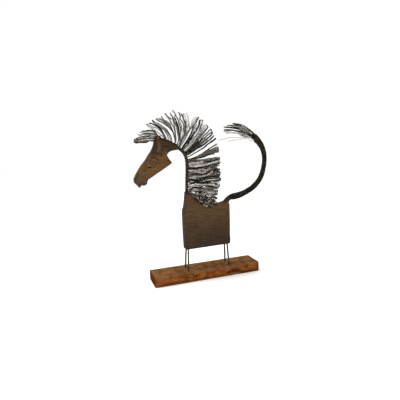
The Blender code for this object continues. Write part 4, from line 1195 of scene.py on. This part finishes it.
def strand_runs(traced, tone, foot, wire, spread, foot_depth, tip_depth, copies, chance):
    """The wires of one traced strand: a hairpin on the near side and single wires behind it.

    They keep together in the photograph's view. Only the hairpin goes on to the foot, if there is one.
    """
    kind = TONES.index(tone)
    line = smooth(traced, 3)
    count = len(line)

    def follow(shift, start_depth, end_depth, points):
        """The points moved aside by the shift and, unseen in the photograph, in depth."""
        run = []
        for index, point in enumerate(points):
            way = (points[min(index + 1, len(points) - 1)] - points[max(index - 1, 0)]).normalized()
            share = index / (len(points) - 1)
            depth = start_depth + (end_depth - start_depth) * share
            aside = Vector((-way.z, 0, way.x)) * shift * (0.6 + 0.8 * share)
            run.append(seen_at(point + aside, depth))
        return run

    start, end = chance.uniform(-1, 0.5) * foot_depth, chance.uniform(-1, -0.2) * tip_depth
    whole = [foot, *line] if foot else line
    pair = [follow(shift * spread, start, end, whole) for shift in (-0.8, 0.8)]
    runs = [(hairpin(*pair), wire, kind)]
    for copy in range(copies):
        start = chance.uniform(-1, 1) * foot_depth
        end = (2 * (copy + chance.random()) / copies - 1) * tip_depth
        last = count - chance.randint(0, 2)
        run = follow(chance.uniform(-1, 1) * spread, start, end, line[:last])
        runs.append((run, wire * chance.uniform(0.8, 1.05), kind))
    return runs


def resampled(points):
    """RUN_POINTS points at even shares of the run's length."""
    reach = [0.0]
    for start, end in zip(points, points[1:]):
        reach.append(reach[-1] + (end - start).length)
    spots, index = [], 0
    for step in range(RUN_POINTS):
        goal = reach[-1] * step / (RUN_POINTS - 1)
        while index < len(points) - 2 and reach[index + 1] < goal:
            index += 1
        share = (goal - reach[index]) / max(reach[index + 1] - reach[index], 1e-9)
        spots.append(points[index].lerp(points[index + 1], min(share, 1.0)))
    return spots


def between_runs(first, second, wire, fill, chance):
    """Finer wires behind two neighbouring strands that fill the fan between them."""
    gap, kinds, fewest, far = fill
    first, second = resampled(first), resampled(second)
    runs = []
    for _ in range(round((first[-1] - second[-1]).length / (gap * MM))):
        share, drift = chance.uniform(0.05, 0.95), chance.uniform(-0.25, 0.25)
        depth, phase = chance.random() * far * MM, chance.uniform(0, 6.28)
        last = chance.randint(fewest, RUN_POINTS)
        run = []
        for index in range(last):
            t = index / (RUN_POINTS - 1)
            spot = first[index].lerp(second[index], min(max(share + drift * t, 0), 1))
            wave = Vector((math.cos(phase), 0, math.sin(phase))) * 0.6 * MM * math.sin(phase + 9 * t)
            run.append(seen_at(spot + wave, depth * t))
        runs.append((run, wire * chance.uniform(0.75, 1.0), chance.choice(kinds)))
    return runs


def nearest_on(line, point):
    """The point of a line nearest to another point, and the direction that faces out of the figure."""
    best = None
    for start, end in zip(line, line[1:]):
        way = end - start
        share = min(max((point - start).dot(way) / way.length_squared, 0.0), 1.0)
        spot = start + way * share
        if best is None or (spot - point).length < (best[0] - point).length:
            best = (spot, Vector((-way.z, 0, way.x)).normalized())
    return best


def whole_strands(line):
    """The mane's strands, each (lock, tone, points from the crest line).

    A strand that starts far out takes its way to the root from the nearest whole strand.
    """
    whole, parts = [], []
    for lock, tone, view, spots in MANE_STRANDS:
        points = [fig(x, z) for x, z in traced_in(view, spots)]
        near = (nearest_on(line, points[0])[0] - points[0]).length < ROOT_REACH * UNIT
        (whole if near else parts).append((lock, tone, points))
    leaders = [resampled(points) for _, _, points in whole]
    for lock, tone, points in parts:
        leader, index = min(((leader, index) for leader in leaders for index in range(RUN_POINTS)),
                            key=lambda choice: (choice[0][choice[1]] - points[0]).length)
        shift = points[0] - leader[index]
        way = [leader[step] + shift * step / max(index, 1) for step in range(0, index - 1, 2)]
        whole.append((lock, tone, way + points))
    return sorted(whole, key=lambda strand: (strand[0], strand[2][-1].x - strand[2][-1].z))


def mane_steels(wire, name):
    """The mane's wires from dark to pale, each under patches of its own darker oxide."""
    steels = []
    for tone, colour, metal in zip(TONES, (wire.mane_dark, wire.mane_grey, wire.mane_pale),
                                   (0.25, 0.6, 0.85)):
        shade = [0.5 * value for value in colour]
        steels.append(wire_steel(f"{tone}_{name}_wire", colour, shade, 0.42, 3.5 * MM, metal))
    return steels


def paint_oxide(mesh, amount):
    """The wire's oxide: amount is a function of the places, from 0 for plain to 1 for dark."""
    paint(mesh, "oxide", amount(places_of(mesh)))


class HORSE_OT_plank(bpy.types.Operator):
    """Makes the reclaimed plank that the horse stands on"""

    bl_idname = "wire_horse.plank"
    bl_label = "Plank"

    def execute(self, context):
        wood = context.scene.horse_wood
        shell = bmesh.new()
        bmesh.ops.create_cube(shell, size=1.0)
        bmesh.ops.scale(shell, vec=PLANK_HIGH - PLANK_LOW, verts=shell.verts)
        bmesh.ops.translate(shell, vec=(PLANK_HIGH + PLANK_LOW) / 2, verts=shell.verts)
        mesh = fine_cells("plank", shell, wood.plank_edge, PLANK_CELL * MM)
        wear_plank(mesh)
        dress("plank", mesh, [reclaimed_pine(wood)], "reclaimed_plank", "base")
        return {"FINISHED"}


class HORSE_OT_legs(bpy.types.Operator):
    """Makes the four wire legs"""

    bl_idname = "wire_horse.legs"
    bl_label = "Legs"

    def execute(self, context):
        wire = context.scene.horse_wire
        steel = wire_steel("grey_leg_wire", wire.leg_grey, wire.leg_dark, 0.5, 5 * MM, 0.3)
        chance = random.Random(4)
        for place, outward in (("front", -1), ("rear", 1)):
            for side, sign in (("near", -1), ("far", 1)):
                node = f"leg_{place}_{side}"
                low, high = (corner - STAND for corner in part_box(node))
                radius = wire.leg_wire / 2
                foot_x, hip_x = (low.x + radius, high.x - radius)[::-outward]
                foot_y, hip_y = (low.y + radius, high.y - radius)[::sign * -1]
                foot = Vector((foot_x, foot_y, PLANK_HIGH.z))
                hip = Vector((hip_x, hip_y, BELLY_Z))
                run = bent_wire(foot, hip, 0.0, chance, 0.25 * MM)
                run = [Vector((foot.x, foot.y, low.z)), *run, Vector((run[-1].x, run[-1].y, high.z))]
                mesh = wires_mesh(node, [(run, wire.leg_wire, 0)], 3)
                paint_oxide(mesh, lambda spots: ease(-spots[:, 2], -PLANK_HIGH.z - 20 * MM,
                                                     -PLANK_HIGH.z))
                dress(f"{node}_wire", mesh, [steel], "grey_steel_wire", node)
        return {"FINISHED"}


class HORSE_OT_body(bpy.types.Operator):
    """Makes the board body with its neck stub and tail horn"""

    bl_idname = "wire_horse.body"
    bl_label = "Body"

    def execute(self, context):
        wood = context.scene.horse_wood
        outline = [fig(x, z) for x, z in CHEST + WITHERS + BACK + HORN_TOP + HORN_END + HORN_FOOT + RUMP]
        mesh = blank("body_board", outline, BODY_THICKNESS, wood.body_edge, BODY_CELL * MM)
        carve_body(mesh)
        dress("body_board", mesh, [stained_board(wood)], "dark_stained_board", "body")
        return {"FINISHED"}


class HORSE_OT_head(bpy.types.Operator):
    """Makes the carved head"""

    bl_idname = "wire_horse.head"
    bl_label = "Head"

    def execute(self, context):
        wood = context.scene.horse_wood
        outline = []
        for x, z in [*smooth(FACE), *smooth(LIPS, 3), *JAW, *CHEEK, *smooth(THROAT, 3),
                     *smooth(CREST, 3), *POLL]:
            point = fig(x, z)
            if not outline or (point - outline[-1]).length > CORNER_GAP:
                outline.append(point)
        if (outline[0] - outline[-1]).length < CORNER_GAP:
            outline.pop()
        mesh = blank("carved_head", outline, HEAD_THICKNESS * UNIT, wood.head_edge, HEAD_CELL * MM)
        carve_head(mesh)
        dress("carved_head", mesh, [waxed_carving(wood)], "carved_stained_wood", "head")
        return {"FINISHED"}


class HORSE_OT_neck(bpy.types.Operator):
    """Makes the twisted bundle of wire that is the neck"""

    bl_idname = "wire_horse.neck"
    bl_label = "Neck"

    def execute(self, context):
        wire = context.scene.horse_wire
        run = smooth([fig(x, z) for x, z in NECK_UP], 8)
        points = [fig(*NECK_FOOT), *run, fig(*NECK_END)]
        widths = [wire.neck_width] * len(points)
        chance = random.Random(21)
        turns = [(rope / NECK_ROPES + side * ROPE_STEP, 0.45 * abs(side))
                 for rope in range(NECK_ROPES) for side in (-1, 0, 1)]
        runs = bundle_runs(points, widths, wire.neck_wire, turns, NECK_LAY * UNIT, chance)
        runs.append((points, wire.neck_width - 2.4 * wire.neck_wire, 0))
        mesh = wires_mesh("neck_bundle", runs)
        paint_oxide(mesh, lambda spots: 0.3 + 0.5 * rough(spots, 9 * MM, 1.1))
        steel = wire_steel("black_neck_wire", wire.neck_worn, wire.neck_black, 0.5, 4 * MM, 0.6)
        dress("neck_bundle", mesh, [steel], "black_annealed_wire", "neck")
        return {"FINISHED"}


class HORSE_OT_tail(bpy.types.Operator):
    """Makes the tail's bundle and its frayed tuft"""

    bl_idname = "wire_horse.tail"
    bl_label = "Tail"

    def execute(self, context):
        wire = context.scene.horse_wire
        line = smooth(TAIL, 6)
        points = [fig(x, z) for x, z, _ in line]
        widths = [share * wire.tail_width for _, _, share in line]
        chance = random.Random(33)
        turns = [((strand + chance.uniform(-0.25, 0.25)) / TAIL_WIRES, chance.uniform(0.0, 0.35))
                 for strand in range(TAIL_WIRES)]
        runs = bundle_runs(points, widths, wire.tail_wire, turns, TAIL_LAY * UNIT, chance)
        runs.append((points, TAIL_CORE * wire.tail_width, 0))
        plug = [points[0] - (points[1] - points[0]).normalized() * PLUG_LENGTH * UNIT, points[3]]
        runs.append((plug, PLUG_SHARE * wire.tail_width, 0))
        mesh = wires_mesh("tail_bundle", runs)
        paint_oxide(mesh, lambda spots: 0.5 + 0.5 * rough(spots, 12 * MM, 5.1))
        steel = wire_steel("black_tail_wire", wire.tail_worn, wire.tail_black, 0.5, 7 * MM)
        dress("tail_bundle", mesh, [steel], "black_annealed_wire", "tail")
        self.tuft(wire, chance)
        return {"FINISHED"}

    def tuft(self, wire, chance):
        """Loose wires that leave the bundle's end and droop forward to their tips."""
        runs = []
        before = None
        strands = [(tone, traced_in(TUFT_VIEW, spots)) for tone, spots in TUFT_STRANDS]
        for tone, traced in sorted(strands, key=lambda strand: strand[1][-1][1]):
            loose = traced[-1][1] < TUFT_LOOSE_Z
            spread, copies = (LOOSE_SPREAD, 0) if loose else (TUFT_SPREAD, TUFT_COPIES)
            line = [fig(x, z) for x, z in traced]
            thickness = wire.mane_wire * (LOOSE_THICKNESS if loose else 1)
            runs += strand_runs(line, "pale" if loose else tone, None, thickness, spread * MM,
                                TUFT_ROOT_DEPTH * MM, TUFT_DEPTH * MM, copies, chance)
            if before and not loose:
                runs += between_runs(before, line, wire.mane_wire, TUFT_FILL, chance)
            before = line
        mesh = wires_mesh("tail_tuft", runs)
        paint_oxide(mesh, lambda spots: 0.4 + 0.6 * rough(spots, 8 * MM, 3.5))
        dress("tail_tuft", mesh, mane_steels(wire, "tuft"), "grey_steel_wire")


class HORSE_OT_mane(bpy.types.Operator):
    """Makes the mane's locks of hairpin wires"""

    bl_idname = "wire_horse.mane"
    bl_label = "Mane"

    def execute(self, context):
        wire = context.scene.horse_wire
        line = crest_line(wire.neck_width)
        chance = random.Random(7)
        steels = mane_steels(wire, "mane")
        locks = {}
        before = None
        strands = whole_strands(line)
        reaches = [(nearest_on(line, traced[-1])[0] - traced[-1]).length for _, _, traced in strands]
        longest = {}
        for (lock, _, _), reach in zip(strands, reaches):
            longest[lock] = max(longest.get(lock, 0.0), reach)
        for (lock, tone, traced), reach in zip(strands, reaches):
            root, out = nearest_on(line, traced[0])
            foot = root - out * 1.2 * UNIT
            _, spread, copies, fill = [zone for zone in MANE_ZONES if zone[0] <= lock][-1]
            locks.setdefault(lock, [])
            locks[lock] += strand_runs(traced, tone, foot, wire.mane_wire, spread * MM,
                                       ROOT_DEPTH * MM, MANE_DEPTH * MM, copies, chance)
            whole = [foot, *traced]
            if reach > (LONG_SHARE * longest[lock] if lock < THICK_LOCK else LONG_STRAND * UNIT):
                if before and before[0] not in MANE_GAPS:
                    locks[lock] += between_runs(before[1], whole, wire.mane_wire, fill, chance)
                before = (lock, whole)
        for lock, runs in sorted(locks.items()):
            name = f"mane_{lock:02d}"
            mesh = wires_mesh(f"{name}_wires", runs)
            centre, tip = np.array(runs[0][0][0]), runs[0][0][len(runs[0][0]) // 2]
            length = (tip - Vector(centre)).length
            paint_oxide(mesh, lambda spots: 0.8 - ease(np.linalg.norm(spots - centre, axis=1),
                                                       0.1 * length, 0.6 * length))
            dress(f"{name}_wires", mesh, steels, "grey_steel_wire", name)
        return {"FINISHED"}


class HORSE_OT_withers(bpy.types.Operator):
    """Makes the tangle of wire over the withers, and the cut ends in it"""

    bl_idname = "wire_horse.withers"
    bl_label = "Withers tangle"

    def execute(self, context):
        wire = context.scene.horse_wire
        chance = random.Random(23)
        edge = [Vector(point) for point in WITHERS[1:]]
        face = BODY_THICKNESS / 2
        runs = []
        for _ in range(TANGLE_WIRES):
            spot, out = self.on_edge(edge, chance.uniform(0.04, 1.0))
            lift = chance.uniform(*TANGLE_LIFT)
            spot = spot + out * lift
            side = -1 if chance.random() < NEAR_SHARE else 1
            y = side * (face + chance.uniform(0.8, 3.2) * MM)
            if lift > OFF_BOARD_LIFT:
                y = chance.uniform(-1, 1) * (face + 2.0 * MM)
            turn = math.radians(chance.gauss(2, 22))
            curl = math.radians(chance.uniform(-55, 55))
            reach = min(chance.uniform(*TANGLE_REACH), TANGLE_END_X - spot.x)
            points = []
            for step in range(7):
                way = Vector((math.cos(turn + curl * step / 6), math.sin(turn + curl * step / 6)))
                points.append(fig(spot.x, spot.y, y + 0.5 * MM * math.sin(step)))
                spot = spot + way * reach / 6
            thickness = wire.mane_wire * chance.uniform(0.8, 1.15)
            runs.append((points, thickness, chance.choice(TANGLE_TONES)))
        for index in range(EDGE_WIRES):
            lift, y = 0.35 * index * UNIT, -face - chance.uniform(2.2, 3.6) * MM
            line = smooth([fig(x - 1.0, z + 0.5, y) for x, z in WITHERS[1:]], 3)
            first = chance.randint(0, 5)
            line = [point + Vector((0, 0, lift + 0.5 * MM * math.sin(index + step)))
                    for step, point in enumerate(line[first:first + chance.randint(4, 9)])]
            runs.append((line, wire.mane_wire, 0))
        mesh = wires_mesh("withers_tangle", runs)
        paint_oxide(mesh, lambda spots: 0.3 + 0.6 * rough(spots, 5 * MM, 6.5))
        dress("withers_tangle", mesh, mane_steels(wire, "tangle"), "grey_steel_wire")
        ends = []
        for x, z in [point for view, spots in CUT_ENDS for point in traced_in(view, spots)]:
            depth = -face - 1.0 * MM if z < FACE_TOP_Z else -MANE_DEPTH * MM
            spot = seen_at(fig(x, z), depth)
            run = [spot, spot + Vector((0.3 * MM, -2.2 * MM, 0.3 * MM))]
            ends.append((run, CUT_END_WIDTH * MM, 0))
        mesh = wires_mesh("withers_cut_ends", ends, 2)
        paint_oxide(mesh, lambda spots: np.zeros(len(spots)))
        steel = wire_steel("bright_cut_wire", wire.cut_bright, wire.cut_dull, 0.3, 4 * MM)
        dress("withers_cut_ends", mesh, [steel], "grey_steel_wire")
        return {"FINISHED"}

    def on_edge(self, edge, share):
        """A point of the withers' edge by its share of the length, and the way out of the wood."""
        left = share * sum((end - start).length for start, end in zip(edge, edge[1:]))
        for start, end in zip(edge, edge[1:]):
            length = (end - start).length
            if left <= length:
                way = (end - start) / length
                return start + way * left, Vector((-way.y, way.x))
            left -= length
        return edge[-1], Vector((0, 1))


class HORSE_OT_forelocks(bpy.types.Operator):
    """Makes the three forelocks on the poll"""

    bl_idname = "wire_horse.forelocks"
    bl_label = "Forelocks"

    def execute(self, context):
        wire = context.scene.horse_wire
        chance = random.Random(11)
        steels = mane_steels(wire, "forelock")
        locks, before = {}, None
        for lock, tone, view, spots in FORELOCK_STRANDS:
            line = [fig(x, z) for x, z in traced_in(view, spots)]
            foot = line[0] - (line[1] - line[0]).normalized() * 3 * UNIT
            locks.setdefault(lock, [])
            locks[lock] += strand_runs(line, tone, foot, wire.mane_wire, FORELOCK_SPREAD * MM,
                                       ROOT_DEPTH * MM, FORELOCK_DEPTH * MM, FORELOCK_COPIES, chance)
            whole = [foot, *line]
            if before and before[0] == lock:
                locks[lock] += between_runs(before[1], whole, wire.mane_wire, FORELOCK_FILL, chance)
            before = (lock, whole)
        for lock, runs in sorted(locks.items()):
            name = f"forelock_{lock:02d}"
            mesh = wires_mesh(f"{name}_wires", runs)
            paint_oxide(mesh, lambda spots: 0.3 + 0.5 * rough(spots, 8 * MM, 2.5))
            dress(f"{name}_wires", mesh, steels, "grey_steel_wire", name)
        return {"FINISHED"}


class HORSE_OT_stage(bpy.types.Operator):
    """Makes the floor, the lamps, the sky and the camera"""

    bl_idname = "wire_horse.stage"
    bl_label = "Stage"

    def execute(self, context):
        stage = context.scene.horse_stage
        shell = bmesh.new()
        bmesh.ops.create_grid(shell, x_segments=1, y_segments=1, size=4.0)
        bmesh.ops.translate(shell, vec=(0, 0, -0.2 * MM), verts=shell.verts)
        mesh = bpy.data.meshes.new("floor")
        shell.to_mesh(mesh)
        shell.free()
        floor = bpy.data.objects.new("floor", mesh)
        context.scene.collection.objects.link(floor)
        material, _, shader = start_material("matt_paper_floor", 0.9)
        shader.inputs["Base Color"].default_value = (*stage.floor, 1.0)
        mesh.materials.append(material)
        world = bpy.data.worlds.new("studio")
        world.use_nodes = True
        sky = world.node_tree.nodes["Background"]
        sky.inputs["Color"].default_value = (1.0, 1.0, 1.0, 1.0)
        sky.inputs["Strength"].default_value = stage.sky
        context.scene.world = world
        self.lamp("key_lamp", *KEY_LAMP, stage.key)
        self.lamp("fill_lamp", *FILL_LAMP, stage.fill)
        context.scene.view_settings.view_transform = "Standard"
        self.camera()
        return {"FINISHED"}

    def lamp(self, name, place, aim, width, power):
        """A square lamp at a place, turned to its aim."""
        data = bpy.data.lights.new(name, "AREA")
        data.shape = "SQUARE"
        data.size = width
        data.energy = power
        lamp = bpy.data.objects.new(name, data)
        bpy.context.scene.collection.objects.link(lamp)
        lamp.location = place
        lamp.rotation_mode = "QUATERNION"
        lamp.rotation_quaternion = (Vector(aim) - Vector(place)).to_track_quat("-Z", "Y")

    def camera(self):
        """The camera that took the photograph."""
        right, up, ahead = camera_axes()
        basis = Matrix((right, up, -ahead)).transposed()
        data = bpy.data.cameras.new("camera")
        data.lens = CAMERA_LENS
        data.sensor_width = SENSOR_WIDTH
        camera = bpy.data.objects.new("camera", data)
        bpy.context.scene.collection.objects.link(camera)
        camera.matrix_world = Matrix.Translation(CAMERA_PLACE + STAND) @ basis.to_4x4()
        bpy.context.scene.camera = camera


class HORSE_PT_panel(bpy.types.Panel):
    """Lists the horse's operators and settings"""

    bl_label = "Wire Horse"
    bl_space_type = "VIEW_3D"
    bl_region_type = "UI"
    bl_category = "Wire Horse"

    def draw(self, context):
        for operator in OPERATORS:
            self.layout.operator(operator.bl_idname)
        for group in (context.scene.horse_wood, context.scene.horse_wire, context.scene.horse_stage):
            for name in group.__annotations__:
                self.layout.prop(group, name)


OPERATORS = (HORSE_OT_plank, HORSE_OT_legs, HORSE_OT_body, HORSE_OT_neck, HORSE_OT_head, HORSE_OT_tail,
             HORSE_OT_mane, HORSE_OT_withers, HORSE_OT_forelocks, HORSE_OT_stage)
GROUPS = (HorseWood, HorseWire, HorseStage)


def register():
    for group in GROUPS + OPERATORS + (HORSE_PT_panel,):
        bpy.utils.register_class(group)
    bpy.types.Scene.horse_wood = bpy.props.PointerProperty(type=HorseWood)
    bpy.types.Scene.horse_wire = bpy.props.PointerProperty(type=HorseWire)
    bpy.types.Scene.horse_stage = bpy.props.PointerProperty(type=HorseStage)


def unregister():
    del bpy.types.Scene.horse_wood
    del bpy.types.Scene.horse_wire
    del bpy.types.Scene.horse_stage
    for group in reversed(GROUPS + OPERATORS + (HORSE_PT_panel,)):
        bpy.utils.unregister_class(group)


def main():
    """Makes every piece and the stage."""
    register()
    bpy.ops.wire_horse.plank()
    bpy.ops.wire_horse.legs()
    bpy.ops.wire_horse.body()
    bpy.ops.wire_horse.neck()
    bpy.ops.wire_horse.head()
    bpy.ops.wire_horse.tail()
    bpy.ops.wire_horse.mane()
    bpy.ops.wire_horse.withers()
    bpy.ops.wire_horse.forelocks()
    bpy.ops.wire_horse.stage()


if __name__ == "__main__":
    main()
